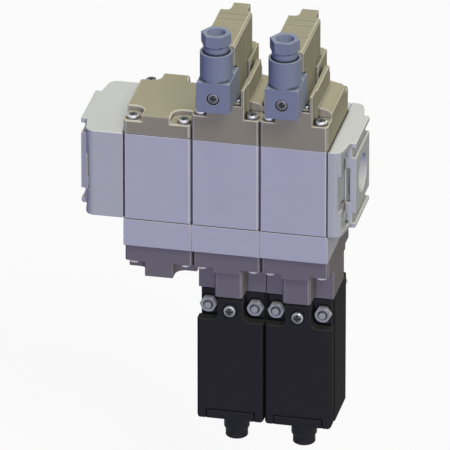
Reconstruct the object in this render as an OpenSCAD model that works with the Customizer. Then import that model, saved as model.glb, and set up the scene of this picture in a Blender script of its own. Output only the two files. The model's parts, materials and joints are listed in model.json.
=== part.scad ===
// Dual residual pressure release valve with soft start module.
// Three modules stand in a row between two flanged end blocks, on one flow axis along X.
// The origin is the centre of the outlet port mouth, Y points to the back and Z up.

/* [Row] */
// Width of one module, and so the pitch of the row
pitch = 32; // [31.5:0.5:36]
// Depth of the bodies and end blocks
depth = 54.5; // [54:0.5:60]
// Height of the ported part of a body, and of the end blocks
port_h = 43.2; // [42:0.2:48]
// Height of the exhaust part under the ported part
base_h = 13.9; // [13:0.1:18]
// Chamfer on the upright edges of a body's ported part
body_edge = 1; // [0.4:0.1:1.6]

/* [End blocks] */
// Length of the outlet block along the flow
outlet_len = 22.5; // [16:0.5:40]
// Length of the inlet block along the flow
inlet_len = 10.8; // [10.4:0.2:30]
// Width of the modular flange
flange_w = 30.3; // [28:0.1:34]
// Thickness of the modular flange
flange_t = 2.9; // [2.6:0.1:3.6]
// Space behind the flange for the joining clamp
clamp_gap = 1.9; // [1.5:0.1:3]
// Thickness of the roof and floor plates of an end block
plate_t = 2.6; // [2:0.1:4]
// Thickness of the side web that ties the flange to the base
web_t = 3; // [2:0.5:4]
// Radius of the rounded upright edge of an end block
block_round = 4.5; // [2:0.5:6]
// Height of each clamp groove in the flange face
groove_h = 4.9; // [4:0.1:6]
// Depth of each clamp groove
groove_d = 1.9; // [1:0.1:2.2]
// Bore of the port in the flange
port_d = 17.8; // [15:0.1:19]
// Depth of that bore
port_depth = 5; // [3:0.5:8]
// Flow passage behind the port bore
passage_d = 15; // [10:0.5:15]
// Outside of the tube that shows in the window behind the flange
tube_d = 20; // [19.6:0.2:24]
// Height of the window in the side web
window_h = 17.4; // [10:0.2:20]
// Depth of the screw recess in the base's outer side
recess_d = 1.3; // [0.6:0.1:1.6]

/* [Covers] */
// Depth of the covers that lie on the bodies
cover_depth = 46.3; // [46:0.1:52]
// Height of the soft start module's top cover
top_cover_h = 10.2; // [9.4:0.1:14]
// Height of the screw pocket floors in that cover
top_floor_h = 6.9; // [4:0.1:8]
// Set back of the bottom covers from the bodies' front
bottom_set = 3.2; // [0:0.1:5]
// Height of the soft start module's bottom cover
long_cover_h = 16.5; // [13:0.1:20]
// Height of a valve module's bottom cover
short_cover_h = 11.6; // [10.8:0.1:14]
// Thickness under the screw heads of the bottom covers
bottom_floor_h = 9.2; // [5:0.1:10]
// Width of the centre tongue of the bottom covers
tongue_w = 13.3; // [11:0.1:14]
// Depth of the front screw pockets
pocket_d = 9.5; // [8:0.1:12]
// Depth of the rear screw pockets
rear_pocket_d = 8.3; // [8:0.1:10]
// Inner corner radius of the pockets
pocket_r = 4.6; // [2:0.1:5]
// Chamfer along the upright edges of the covers
cover_edge = 1; // [0.4:0.1:1.5]

/* [Cover screws] */
// Distance of the screw axes from the sides and ends of a cover
screw_in = 4; // [3.8:0.1:4.4]
// Shank diameter of the cover screws
screw_d = 3; // [2.5:0.1:3.2]
// Head diameter of the cover screws
screw_head_d = 5.7; // [5:0.1:6]
// Head height of the cover screws
screw_head_h = 1.9; // [1.4:0.1:2.4]
// Depth that the cover screws reach into the body
screw_grip = 7; // [5:0.5:7.5]

/* [Pilot base] */
// Height of the pilot base's screw floors above the body
pilot_floor_h = 12.4; // [12:0.1:15]
// Height of the deck that carries the pilot valve
deck_h = 19.1; // [17:0.1:22]
// Height of the upright fin beside the pilot valve
fin_h = 27.4; // [24:0.1:34]
// Thickness of that fin
fin_t = 2.1; // [1.8:0.1:3]
// Place of the fin's left side from the module's left side
fin_x = 23.4; // [23:0.1:24]
// Length of the fin from the front
fin_len = 35; // [28:0.5:40]
// Bite of the front right screw pocket into the fin
fin_bite = 0.7; // [0.4:0.1:1]
// Height of the sloped ridge at its inner edge
ridge_h = 17.9; // [16:0.1:20]
// Fall of the ridge's top towards the outside
ridge_fall = 1.2; // [0.4:0.1:2.4]
// Set in of the ridge's outer edge from the module's side
ridge_in = 1.5; // [0.6:0.1:2.5]
// Diameter of the pilot piston's cylinder
cylinder_d = 22; // [18:0.5:24]
// Depth of that cylinder
cylinder_h = 10.4; // [9.6:0.1:11]

/* [Pilot valve] */
// Width of the pilot valve
pilot_w = 15; // [14.5:0.1:16]
// Place of its left side from the module's left side
pilot_x = 5.5; // [5:0.1:6]
// Height of its top above the body
pilot_top = 49.4; // [46:0.1:60]
// Set back of its upper front face
pilot_front = 0.5; // [0.2:0.1:1.5]
// Set back of the face that the plug meets
plug_face = 5.3; // [4.5:0.1:7]
// Place of the seam between coil housing and valve block
pilot_seam = 24.8; // [23:0.1:27]
// Height of the lower rear block's top above the body
rear_block_top = 30.6; // [27:0.1:36]
// Width of that rear block
rear_block_w = 16.6; // [15.2:0.1:17]
// Diameter of the armature
armature_d = 5; // [4:0.1:6]
// Length of the armature
armature_len = 13; // [10:0.5:15]
// Lift of the armature
armature_lift = 0.8; // [0.4:0.1:1.2]
// Diameter of the manual override button
override_d = 3.2; // [2.5:0.1:4]
// Travel of the manual override button
override_travel = 1.2; // [0.8:0.1:1.5]

/* [Cable plug] */
// Width of the plug block
plug_w = 15.6; // [15:0.1:17]
// Depth of the plug block
plug_d = 20; // [18:0.1:24]
// Height of the plug block
plug_h = 14.9; // [13:0.1:17]
// Height of the block's underside above the body
plug_z = 21.9; // [21:0.1:23]
// Diameter of the round cable tower
tower_d = 15; // [14.4:0.1:16]
// Height of that tower
tower_h = 13.2; // [11:0.1:16]
// Set in of the tower axis from the plug's front face
tower_in = 7.6; // [7.5:0.1:8.5]
// Wall of the tower round the gland
tower_wall = 1.2; // [1:0.1:1.6]
// Depth of the gland's seat in the tower
gland_seat = 6.3; // [4:0.1:8]
// Height of the gland's neck above the tower
neck_h = 3.4; // [3:0.1:7]
// Width of the gland's hexagon across its flats
hex_af = 12.2; // [11:0.1:14]
// Height of that hexagon
hex_h = 6; // [4:0.1:8]
// Diameter of the cable hole
cable_d = 8.3; // [6:0.1:8.6]
// Inside diameter of the rubber cable seal
seal_hole_d = 5.5; // [4:0.1:7]

/* [Main valve] */
// Bore of the main valve
bore_d = 16; // [14:0.2:16.4]
// Travel of the main spool
stroke = 4; // [3.6:0.1:4.2]
// Running clearance of sliding pieces on the radius
run_gap = 0.04; // [0.02:0.01:0.08]
// Diameter of the spool's stem
stem_d = 6.4; // [5:0.1:7]
// Diameter of the annular grooves round the bore
ring_d = 20; // [18.5:0.1:21]
// Diameter of the drilled ways to the grooves
way_d = 8; // [6:0.1:8]
// Diameter of the rod that works the switch
rod_d = 4; // [3:0.1:4.5]
// Thickness of the pilot piston
piston_t = 5; // [4:0.1:5.5]
// Thread core diameter of the exhaust port
exhaust_d = 15; // [12:0.5:15.5]
// Depth of the exhaust port
exhaust_depth = 10; // [8:0.5:12]

/* [Soft start] */
// Guide bore of the soft start piston
soft_bore_d = 18; // [16:0.2:19]
// Bore of its seat
soft_seat_d = 12; // [10:0.2:13]
// Lift of the soft start piston
soft_lift = 4.5; // [3:0.1:5]

/* [Switch bracket] */
// Thickness of the bracket between cover and switch
bracket_h = 13.9; // [12:0.1:16]
// Set back of the bracket's centre boss
boss_set = 6.9; // [5:0.1:9]
// Set back of the bracket's corner blocks
block_set = 15.7; // [14:0.1:17]
// Depth of the bracket from the front plane
bracket_depth = 38.7; // [37:0.1:40]
// Side gap between neighbouring switches
side_gap = 0.2; // [0.2:0.1:1]
// Thickness of the plate behind the switch
back_plate_t = 3; // [2:0.1:4]
// Width of that plate
back_plate_w = 26.4; // [26:0.2:28]
// Reach of that plate below the top of the switch
back_plate_h = 15; // [14:0.5:20]

/* [Limit switch] */
// Set back of the switch's front from the body's front
switch_front = 10.6; // [8:0.1:12]
// Depth of the switch
switch_d = 35.2; // [33:0.1:38]
// Height of the switch housing
switch_h = 66.2; // [60:0.1:80]
// Thickness of the switch's front cover
front_t = 6; // [5:0.1:7]
// Height of the front cover's bottom edge above the housing's
front_up = 1.2; // [0.6:0.1:2]
// Depth of the front cover's top edge below the housing's
front_down = 3.2; // [0:0.1:4]
// Reach of the notches for the mounting nuts past the bolts
notch_reach = 5; // [4.6:0.1:5.4]
// Depth of those notches below the top of the switch
notch_h = 13.9; // [13:0.1:18]
// Distance between the two mounting bolts
bolt_span = 22; // [21.6:0.1:22.2]
// Depth of the bolts below the top of the switch
bolt_down = 7.7; // [6:0.1:8.2]
// Diameter of the mounting bolts
bolt_d = 4; // [3:0.1:4.2]
// Width of the nuts across their flats
nut_af = 7; // [6:0.1:7.2]
// Thickness of the nuts
nut_t = 3.2; // [2:0.1:4]
// Diameter of the switch's plunger
plunger_d = 5; // [4:0.1:5.6]
// Height of the plunger above the switch
plunger_up = 4.2; // [4.2:0.1:5]

/* [Connector] */
// Diameter of the connector's collar
collar_d = 12; // [11:0.1:14]
// Height of that collar under the switch
collar_h = 9.1; // [6:0.1:12]
// Diameter of the plug end
end_d = 10.6; // [9.6:0.1:11]
// Height of the plug end
end_h = 4.7; // [3:0.1:8]

/* [Hidden] */
$fn = 64;

front = -depth / 2;
back = depth / 2;
top_z = port_h / 2;
mid_z = -port_h / 2;
low_z = mid_z - base_h;
row_x = outlet_len;
row_end = row_x + 3 * pitch;
total_x = row_end + inlet_len;
mid_x = pitch / 2;

// Pockets for screws of the pilot base, clear of the screw heads
left_pocket_w = screw_in + screw_head_d / 2 + 0.4;
rear_ridge_d = left_pocket_w;

// Small working clearances
fit = 0.05;
seat_gap = 0.3;
eps = 0.5;

// Heights inside a valve module
web_half = 1;
supply_z = way_d / 2 + web_half;
outlet_z = -supply_z;
vent_z = -20;
land_t = 3.2;
shut_land = (outlet_z - way_d / 2) - 1.4;
open_land = shut_land + stroke;
guide_top = top_z - 1;
guide_low = vent_z - way_d / 2 - 0.8;
guide_end = guide_low - 5.2;
exhaust_z = mid_z - 3.9;
piston_top = top_z + cylinder_h - seat_gap;

// Heights below the bodies
floor_z = low_z - bottom_floor_h;
base_front = front + bottom_set;
cover_z = low_z - short_cover_h;
switch_top = cover_z - bracket_h;
switch_low = switch_top - switch_h;
spring_floor = cover_z + 4.9;
rod_end = switch_top + plunger_up + seat_gap;

// Places along the depth of the switch
sw_front = front + switch_front;
sw_mid = sw_front + front_t;
sw_back = sw_front + switch_d;
connector_y = -1.5;
notch_w = mid_x - side_gap - bolt_span / 2 + notch_reach;
bolt_z = switch_top - bolt_down;
panel_screw_z = bolt_z - 0.6;
panel_head_d = 5.6;
panel_head_h = 2.3;

// Places of the pilot valve
pilot_z = top_z + deck_h;
pilot_mid = pilot_x + pilot_w / 2;
plug_mid = pilot_mid + 0.5;
plug_z0 = top_z + plug_z;
plug_z1 = plug_z0 + plug_h;
plug_back = front + plug_face - 0.5;
plug_front = plug_back - plug_d;
plug_screw_z = (plug_z0 + plug_z1) / 2 - 0.5;
tower_y = plug_front + tower_in;
tower_top = plug_z1 + tower_h;
gland_r = tower_d / 2 - tower_wall;
armature_y = front + (plug_face + pilot_seam) / 2;
armature_z = pilot_z + 8;
override_z = top_z + 42;

// Lugs of the pilot valve and the small screws through them
pilot_screw_d = 2;
pilot_head_d = 3.2;
lug_t = 1.2;
lug_end = fin_x - 0.1;
lug_side = 1.2;
pilot_screw_places = [[pilot_x + pilot_w + lug_side, front + 3.2],
    [pilot_x - lug_side, front + cover_depth - rear_pocket_d - 2.6]];
air_d = 1.6;
lip_chamfer = 1;
joint_line = 0.3;
armature_room = armature_lift + 6.2;
armature_bore = 4;

// Heights inside the soft start, where the lifted piston stays below the body's top
soft_seat_z = -3;
soft_guide_h = 7;
soft_guide_z = top_z - soft_guide_h - soft_lift - 1.1;
soft_spring_z = soft_guide_z + 2;
soft_spring_d = 8.6;
cover_roof = 3;

// Spring chamber of the switch and its fastening
chamber_top = switch_top - 3.5;
chamber_low = switch_top - 24;
chamber_d = 9;
hex_head_h = 2.8;
bolt_chamfer = 0.6;
bolt_over = 0.9;

// Screws that hold a bracket to its bottom cover
bracket_seat = 3.4;
bracket_screw_places = [for (x = [6, pitch - 6],
    y = [front + block_set + 4.6, front + bracket_depth - 5]) [x, y]];

// Places of the tie screws, which join the row
tie_y = 19;
tie_z = 11;
tie_d = 4;
tie_head_d = 7;
tie_head_h = 4;
seal_d = 21;
seal_wire = 1.8;

// Left side of module i, where module 0 is the soft start
function module_x(i) = row_x + i * pitch;

// Plain box between two corners
module box(a, b) {
    translate(a) cube([b[0] - a[0], b[1] - a[1], b[2] - a[2]]);
}

// Cylinder along X or Y, from a point
module rod_x(p, d, length) {
    translate(p) rotate([0, 90, 0]) cylinder(d = d, h = length);
}

module rod_y(p, d, length) {
    translate(p) rotate([-90, 0, 0]) cylinder(d = d, h = length);
}

// Rectangle with its four corners chamfered
module chamfered(x0, x1, y0, y1, c) {
    polygon([[x0 + c, y0], [x1 - c, y0], [x1, y0 + c], [x1, y1 - c],
        [x1 - c, y1], [x0 + c, y1], [x0, y1 - c], [x0, y0 + c]]);
}

// Rectangle with its four corners rounded by true arcs
module rounded(x0, x1, y0, y1, r) {
    translate([x0 + r, y0]) square([x1 - x0 - 2 * r, y1 - y0]);
    translate([x0, y0 + r]) square([x1 - x0, y1 - y0 - 2 * r]);
    for (x = [x0 + r, x1 - r], y = [y0 + r, y1 - r]) {
        translate([x, y]) circle(r);
    }
}

// Pocket at a corner, growing along +x and +y, with a rounded inner corner
module corner_pocket(w, d, r) {
    translate([-eps, -eps]) square([w - r + eps, d + eps]);
    translate([-eps, -eps]) square([w + eps, d - r + eps]);
    translate([w - r, d - r]) circle(r);
}

// Cutter that rounds an edge of length l along +z, where sx and sy point outwards
module round_cutter(r, l, sx, sy) {
    difference() {
        translate([sx > 0 ? -r : -eps, sy > 0 ? -r : -eps, -eps]) cube([r + eps, r + eps, l + 2 * eps]);
        translate([-sx * r, -sy * r, -2 * eps]) cylinder(r = r, h = l + 4 * eps);
    }
}

// Pan head screw with its seat at z = 0, its shank down and a cross recess
module pan_screw(d, head_d, head_h, length) {
    dome_r = head_d * 0.75;
    difference() {
        union() {
            intersection() {
                cylinder(d = head_d, h = head_h);
                translate([0, 0, head_h - dome_r]) sphere(r = dome_r, $fn = 96);
            }
            translate([0, 0, -length]) cylinder(d = d, h = length + head_h / 2);
        }
        for (a = [0, 90]) {
            rotate(a + 20) translate([-head_d * 0.32, -head_d * 0.07, head_h * 0.45])
                cube([head_d * 0.64, head_d * 0.14, head_h]);
        }
    }
}

// Socket head screw with its seat at z = 0 and its shank down
module socket_screw(d, head_d, head_h, length) {
    difference() {
        union() {
            cylinder(d = head_d, h = head_h);
            translate([0, 0, -length]) cylinder(d = d, h = length + head_h / 2);
        }
        translate([0, 0, head_h * 0.45]) cylinder(d = d * 0.86, h = head_h, $fn = 6);
    }
}

// Coil spring on the z axis, swept as rings of points along a helix
module coil_spring(mean_d, wire, z0, z1, turns) {
    per_turn = 12;
    sides = 6;
    rings = turns * per_turn;
    low = z0 + wire / 2;
    high = z1 - wire / 2;
    points = [for (i = [0:rings], j = [0:sides - 1])
        let (a = i * 360 / per_turn, b = j * 360 / sides,
            r = mean_d / 2 + wire / 2 * cos(b),
            z = low + (high - low) * i / rings + wire / 2 * sin(b))
        [r * cos(a), r * sin(a), z]];
    walls = [for (i = [0:rings - 1], j = [0:sides - 1])
        let (k = (j + 1) % sides)
        [i * sides + j, i * sides + k, (i + 1) * sides + k, (i + 1) * sides + j]];
    first = [for (j = [sides - 1:-1:0]) j];
    last = [for (j = [0:sides - 1]) rings * sides + j];
    polyhedron(points = points, faces = concat(walls, [first, last]), convexity = 6);
}

// Points of the rounded corner of an end block
block_corner = flange_t + clamp_gap;
slant_x = block_corner - flange_t;
slant_y = (depth - flange_w) / 2;
slant_angle = atan2(slant_y, slant_x);
corner_run = block_round * tan(slant_angle / 2);

// Plan of an end block: straight ends, rounded edges, slanted sides and flange
module block_plan(length) {
    difference() {
        polygon([[0, front], [length - block_corner, front], [length - flange_t, -flange_w / 2],
            [length, -flange_w / 2], [length, flange_w / 2], [length - flange_t, flange_w / 2],
            [length - block_corner, back], [0, back]]);
        for (s = [0, 1]) {
            mirror([0, s]) difference() {
                polygon([[length - block_corner - corner_run, front],
                    [length - block_corner, front],
                    [length - block_corner + corner_run * cos(slant_angle),
                        front + corner_run * sin(slant_angle)]]);
                translate([length - block_corner - corner_run, front + block_round])
                    circle(block_round);
            }
        }
    }
}

// End block with its joint face at x = 0 and its flange at x = length
module end_block(length, screw_heads) {
    face_x = length - block_corner;
    lip = top_z - plate_t;
    difference() {
        union() {
            for (z = [mid_z, lip]) {
                translate([0, 0, z]) linear_extrude(plate_t) block_plan(length);
            }
            translate([0, 0, mid_z]) linear_extrude(port_h) intersection() {
                block_plan(length);
                translate([0, front]) square([face_x, depth]);
            }
            box([length - flange_t, -flange_w / 2, mid_z], [length, flange_w / 2, top_z]);
            for (s = [-1, 1]) {
                y = s > 0 ? flange_w / 2 - web_t : -flange_w / 2;
                box([face_x - eps, y, mid_z], [length - flange_t + eps, y + web_t, top_z]);
            }
            rod_x([face_x - eps, 0, 0], tube_d, block_corner);
        }
        rod_x([length - port_depth, 0, 0], port_d, port_depth + eps);
        rod_x([-eps, 0, 0], passage_d, length);
        // Clamp grooves across the flange face
        for (z = [lip - groove_h, -lip]) {
            box([length - groove_d, front, z], [length + eps, back, z + groove_h]);
        }
        // Chamfer under the bottom lip
        translate([length, 0, mid_z]) rotate([0, 45, 0])
            cube([lip_chamfer, depth, lip_chamfer], center = true);
        // Window in each side web
        for (s = [-1, 1]) {
            box([face_x, s > 0 ? flange_w / 2 - web_t - eps : -flange_w / 2 - eps, -window_h / 2],
                [length - flange_t, s > 0 ? flange_w / 2 + eps : -flange_w / 2 + web_t + eps, window_h / 2]);
        }
        // Recess along the outer side of the base
        for (s = [-1, 1]) {
            box([face_x - recess_d, s > 0 ? flange_w / 2 - eps : front - eps, -window_h / 2],
                [face_x + eps, s > 0 ? back + eps : -flange_w / 2 + eps, window_h / 2]);
        }
        seal_groove(0);
        for (y = [-tie_y, tie_y], z = [-tie_z, tie_z]) {
            if (screw_heads) {
                rod_x([-eps, y, z], tie_d + 0.4, length);
                rod_x([face_x - tie_head_h, y, z], tie_head_d + 0.6, length);
            } else {
                rod_x([-eps, y, z], tie_d + 2 * fit, face_x - 3);
            }
        }
    }
}

module outlet_end_block() {
    color([0.76, 0.77, 0.73]) translate([row_x, 0, 0]) mirror([1, 0, 0]) end_block(outlet_len, false);
}

module inlet_end_block() {
    color([0.76, 0.77, 0.73]) translate([row_end, 0, 0]) end_block(inlet_len, true);
}

// O-rings between the faces of the row, one at each joint
module port_seals() {
    color([0.12, 0.12, 0.13]) for (i = [0:3]) {
        rotate([0, 90, 0]) translate([0, 0, module_x(i)]) rotate_extrude()
            translate([seal_d / 2, 0]) square([seal_wire, seal_wire - 2 * fit], center = true);
    }
}

// Half groove for an o-ring in a face at x
module seal_groove(x) {
    rotate([0, 90, 0]) translate([0, 0, x]) rotate_extrude()
        translate([seal_d / 2, 0]) square([seal_wire + 2 * fit, seal_wire], center = true);
}

module seal_grooves() {
    seal_groove(0);
    seal_groove(pitch);
}

// Long socket screws through the row, with their heads in the inlet block
module tie_screws() {
    seat_x = total_x - block_corner - tie_head_h;
    far_x = block_corner + 5;
    color([0.75, 0.76, 0.78]) for (y = [-tie_y, tie_y], z = [-tie_z, tie_z]) {
        translate([seat_x, y, z]) rotate([0, 90, 0])
            socket_screw(tie_d, tie_head_d, tie_head_h - 0.4, seat_x - far_x);
    }
}

// Outer form of a body: ported part with chamfered edges, a fine joint line, the plain exhaust part
module body_form() {
    translate([0, 0, mid_z]) linear_extrude(port_h)
        chamfered(0, pitch, front, back, body_edge);
    box([joint_line, front + joint_line, mid_z - joint_line],
        [pitch - joint_line, back - joint_line, mid_z]);
    box([0, front, low_z], [pitch, back, mid_z - joint_line]);
}

// Screw holes from the top and from below, at the corners of the covers
module body_screw_holes() {
    for (x = [screw_in, pitch - screw_in], y = [screw_in, cover_depth - screw_in]) {
        translate([x, front + y, top_z - screw_grip - 1])
            cylinder(d = screw_d + 2 * fit, h = screw_grip + 2);
        translate([x, base_front + y, low_z - 1])
            cylinder(d = screw_d + 2 * fit, h = screw_grip + 2);
    }
}

module tie_holes() {
    for (y = [-tie_y, tie_y], z = [-tie_z, tie_z]) {
        rod_x([-eps, y, z], tie_d + 0.4, pitch + 2 * eps);
    }
}

// Port chambers at both faces, on the flow axis
module face_ports() {
    rod_x([-eps, 0, 0], passage_d, 3 + eps);
    rod_x([pitch - 3, 0, 0], passage_d, 3 + eps);
}

module soft_start_body() {
    way_low = -8;
    way_high = 3;
    color([0.61, 0.61, 0.72]) translate([module_x(0), 0, 0]) difference() {
        body_form();
        translate([mid_x, 0, soft_seat_z]) cylinder(d = soft_bore_d, h = port_h);
        translate([mid_x, 0, way_low - way_d / 2 - 1]) cylinder(d = soft_seat_d, h = 20);
        rod_x([mid_x, 0, way_low + 1], way_d, mid_x);
        rod_x([0, 0, way_high + 0.5], way_d - 1, mid_x);
        face_ports();
        seal_grooves();
        tie_holes();
        body_screw_holes();
    }
}

// Poppet piston that opens the full flow once the outlet pressure has risen
module soft_start_piston() {
    seat_z = soft_seat_z;
    guide_z = soft_guide_z;
    color([0.82, 0.68, 0.36]) translate([module_x(0) + mid_x, 0, 0]) difference() {
        rotate_extrude() polygon([[0, seat_z], [soft_seat_d / 2 + 1.2, seat_z],
            [soft_seat_d / 2 + 1.2, seat_z + 2], [3.6, seat_z + 4.5], [3.6, guide_z],
            [soft_bore_d / 2 - run_gap, guide_z], [soft_bore_d / 2 - run_gap, guide_z + soft_guide_h],
            [0, guide_z + soft_guide_h]]);
        translate([0, 0, soft_spring_z]) cylinder(d = soft_spring_d + 2.4, h = soft_guide_h);
    }
}

module soft_start_spring() {
    color([0.8, 0.8, 0.82]) translate([module_x(0) + mid_x, 0, 0])
        coil_spring(soft_spring_d, 1.2, soft_spring_z + fit, top_z + top_cover_h - cover_roof - fit, 5);
}

// Cover body with screw pockets at its four corners, its flat side at z = 0
module cover_form(height, floor_h, front_w, rear_w) {
    difference() {
        linear_extrude(height) chamfered(0, pitch, front, front + cover_depth, cover_edge);
        translate([0, 0, floor_h]) {
            translate([0, front, 0]) linear_extrude(height) corner_pocket(front_w[0], pocket_d, pocket_r);
            translate([pitch, front, 0]) mirror([1, 0, 0]) linear_extrude(height)
                corner_pocket(front_w[1], pocket_d, pocket_r);
            translate([0, front + cover_depth, 0]) mirror([0, 1, 0]) linear_extrude(height)
                corner_pocket(rear_w[0], rear_pocket_d, pocket_r);
            translate([pitch, front + cover_depth, 0]) mirror([1, 0, 0]) mirror([0, 1, 0])
                linear_extrude(height) corner_pocket(rear_w[1], rear_pocket_d, pocket_r);
        }
        for (x = [screw_in, pitch - screw_in], y = [screw_in, cover_depth - screw_in]) {
            translate([x, front + y, -eps]) cylinder(d = screw_d + 0.4, h = height + 2 * eps);
        }
    }
}

module soft_start_top_cover() {
    edge_r = 0.9;
    color([0.61, 0.59, 0.5]) translate([module_x(0), 0, top_z]) difference() {
        cover_form(top_cover_h, top_floor_h, [8.6, 9.8], [9.1, 10.4]);
        translate([mid_x, 0, -eps]) cylinder(d = soft_spring_d + 3.4, h = top_cover_h - cover_roof + eps);
        // Rounded upper edges at the front and along both sides
        translate([0, front, top_cover_h]) rotate([0, 90, 0]) round_cutter(edge_r, pitch, -1, -1);
    }
}

module soft_start_bottom_cover() {
    side = (pitch - tongue_w) / 2;
    color([0.38, 0.37, 0.42]) translate([module_x(0), bottom_set, low_z]) mirror([0, 0, 1])
        cover_form(long_cover_h, bottom_floor_h, [side, side], [side, side]);
}

// Screws of the top cover and of the two pilot bases
module cover_screws() {
    rear = front + cover_depth - screw_in;
    color([0.8, 0.8, 0.83]) for (i = [0:2], x = [screw_in, pitch - screw_in], y = [front + screw_in, rear]) {
        seat_h = i == 0 ? top_floor_h : pilot_floor_h;
        translate([module_x(i) + x, y, top_z + seat_h])
            pan_screw(screw_d, screw_head_d, screw_head_h, seat_h + screw_grip);
    }
}

// Screws of the three bottom covers, from below
module base_screws() {
    rear = cover_depth - screw_in;
    color([0.8, 0.8, 0.83]) for (i = [0:2], x = [screw_in, pitch - screw_in], y = [screw_in, rear]) {
        translate([module_x(i) + x, base_front + y, floor_z]) mirror([0, 0, 1])
            pan_screw(screw_d, screw_head_d, screw_head_h, bottom_floor_h + screw_grip);
    }
}

// Valve body with the spool bore, its three annular grooves and the drilled ways
module valve_body(i) {
    color([0.61, 0.61, 0.72]) translate([module_x(i), 0, 0]) difference() {
        body_form();
        translate([mid_x, 0, low_z - eps]) cylinder(d = bore_d, h = port_h + base_h + 2 * eps);
        for (z = [supply_z, outlet_z, vent_z]) {
            translate([mid_x, 0, z - way_d / 2]) cylinder(d = ring_d, h = way_d);
        }
        rod_x([mid_x, 0, supply_z], way_d - 0.8, mid_x);
        rod_x([0, 0, outlet_z], way_d - 0.8, mid_x);
        rod_y([mid_x, 0, vent_z], way_d - 0.8, back - 4);
        rod_y([mid_x, back - exhaust_depth, exhaust_z], exhaust_d, exhaust_depth + eps);
        face_ports();
        seal_grooves();
        tie_holes();
        body_screw_holes();
    }
}

module valve_body_a() { valve_body(1); }

module valve_body_b() { valve_body(2); }

// Turned spool: two guide lands, two working lands and the rod to the switch
module main_spool(i) {
    land_r = bore_d / 2 - run_gap;
    stem_r = stem_d / 2;
    color([0.78, 0.79, 0.8]) translate([module_x(i) + mid_x, 0, 0]) rotate_extrude() polygon([
        [0, guide_top], [land_r - 0.5, guide_top], [land_r, guide_top - 0.5],
        [land_r, guide_top - 6.6], [stem_r, guide_top - 8.2],
        [stem_r, land_t / 2 + 1], [land_r, land_t / 2], [land_r, -land_t / 2],
        [stem_r, -land_t / 2 - 0.6], [stem_r, open_land + land_t / 2 + 0.6],
        [land_r, open_land + land_t / 2], [land_r, open_land - land_t / 2],
        [stem_r, open_land - land_t / 2 - 1], [stem_r, guide_low + 1.4],
        [land_r, guide_low], [land_r, guide_end], [rod_d / 2, guide_end],
        [rod_d / 2, rod_end + 0.4], [rod_d / 2 - 0.4, rod_end], [0, rod_end]]);
}

module main_spool_a() { main_spool(1); }

module main_spool_b() { main_spool(2); }

// Pilot piston over the spool, with its foot on the spool's end
module pilot_piston(i) {
    color([0.25, 0.25, 0.27]) translate([module_x(i) + mid_x, 0, 0]) difference() {
        rotate_extrude() polygon([[0, guide_top], [5, guide_top], [5, piston_top - piston_t],
            [cylinder_d / 2 - run_gap, piston_top - piston_t],
            [cylinder_d / 2 - run_gap, piston_top - piston_t + 1.4],
            [cylinder_d / 2 - 1, piston_top - piston_t + 1.7],
            [cylinder_d / 2 - 1, piston_top - 1.7],
            [cylinder_d / 2 - run_gap, piston_top - 1.4],
            [cylinder_d / 2 - run_gap, piston_top], [0, piston_top]]);
        translate([0, 0, piston_top - 2]) cylinder(d = cylinder_d - 8, h = 3);
    }
}

module pilot_piston_a() { pilot_piston(1); }

module pilot_piston_b() { pilot_piston(2); }

module return_spring(i) {
    color([0.8, 0.8, 0.82]) translate([module_x(i) + mid_x, 0, 0])
        coil_spring(9, 1.4, spring_floor + fit, guide_end - fit, 4);
}

module return_spring_a() { return_spring(1); }

module return_spring_b() { return_spring(2); }

// Pilot base: piston cylinder below, deck, fin and sloped ridge above
module pilot_base(i) {
    rear_y = front + cover_depth;
    ridge_y0 = front + pocket_d;
    ridge_y1 = rear_y - rear_ridge_d;
    fin_end = fin_x + fin_t;
    deck_x1 = fin_x + 0.01;
    color([0.6, 0.58, 0.49]) translate([module_x(i), 0, top_z]) difference() {
        union() {
            linear_extrude(pilot_floor_h) chamfered(0, pitch, front, rear_y, cover_edge);
            // Deck for the pilot valve, narrower at both ends
            translate([0, 0, pilot_floor_h - 1]) linear_extrude(deck_h - pilot_floor_h + 1) difference() {
                translate([0, front]) square([deck_x1, cover_depth]);
                translate([0, front]) corner_pocket(left_pocket_w, pocket_d, 3);
                translate([0, rear_y]) mirror([0, 1]) corner_pocket(left_pocket_w + 1.5, rear_pocket_d, 3);
            }
            // Upright fin
            box([fin_x, front, pilot_floor_h - 1], [fin_end, front + fin_len, fin_h]);
            // Ridge with a top that falls outwards
            translate([0, ridge_y1, 0]) rotate([90, 0, 0]) linear_extrude(ridge_y1 - ridge_y0)
                polygon([[fin_x, pilot_floor_h - 1], [pitch, pilot_floor_h - 1],
                    [pitch, ridge_h - ridge_fall - ridge_in], [pitch - ridge_in, ridge_h - ridge_fall],
                    [fin_end - 0.5, ridge_h], [fin_x, ridge_h]]);
        }
        // The front right pocket bites into the fin and rounds into the ridge
        translate([pitch, front, pilot_floor_h]) mirror([1, 0, 0]) linear_extrude(deck_h)
            corner_pocket(pitch - fin_end + fin_bite, pocket_d, pocket_r - 1);
        translate([pitch, rear_y, pilot_floor_h]) mirror([1, 0, 0]) mirror([0, 1, 0]) linear_extrude(deck_h)
            corner_pocket(pitch - fin_end + fin_bite, rear_ridge_d, pocket_r - 1);
        translate([mid_x, 0, -eps]) cylinder(d = cylinder_d, h = cylinder_h + eps);
        // Pilot air way down from the deck and across into the cylinder
        translate([pilot_mid, armature_y, cylinder_h]) cylinder(d = air_d, h = deck_h);
        rod_y([pilot_mid, armature_y, cylinder_h], air_d, 6);
        for (x = [screw_in, pitch - screw_in], y = [screw_in, cover_depth - screw_in]) {
            translate([x, front + y, -eps]) cylinder(d = screw_d + 0.4, h = deck_h + 2 * eps);
        }
        for (p = pilot_screw_places) {
            translate([p[0], p[1], deck_h - 5]) cylinder(d = pilot_screw_d + 2 * fit, h = 6);
        }
    }
}

module pilot_base_a() { pilot_base(1); }

module pilot_base_b() { pilot_base(2); }

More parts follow.
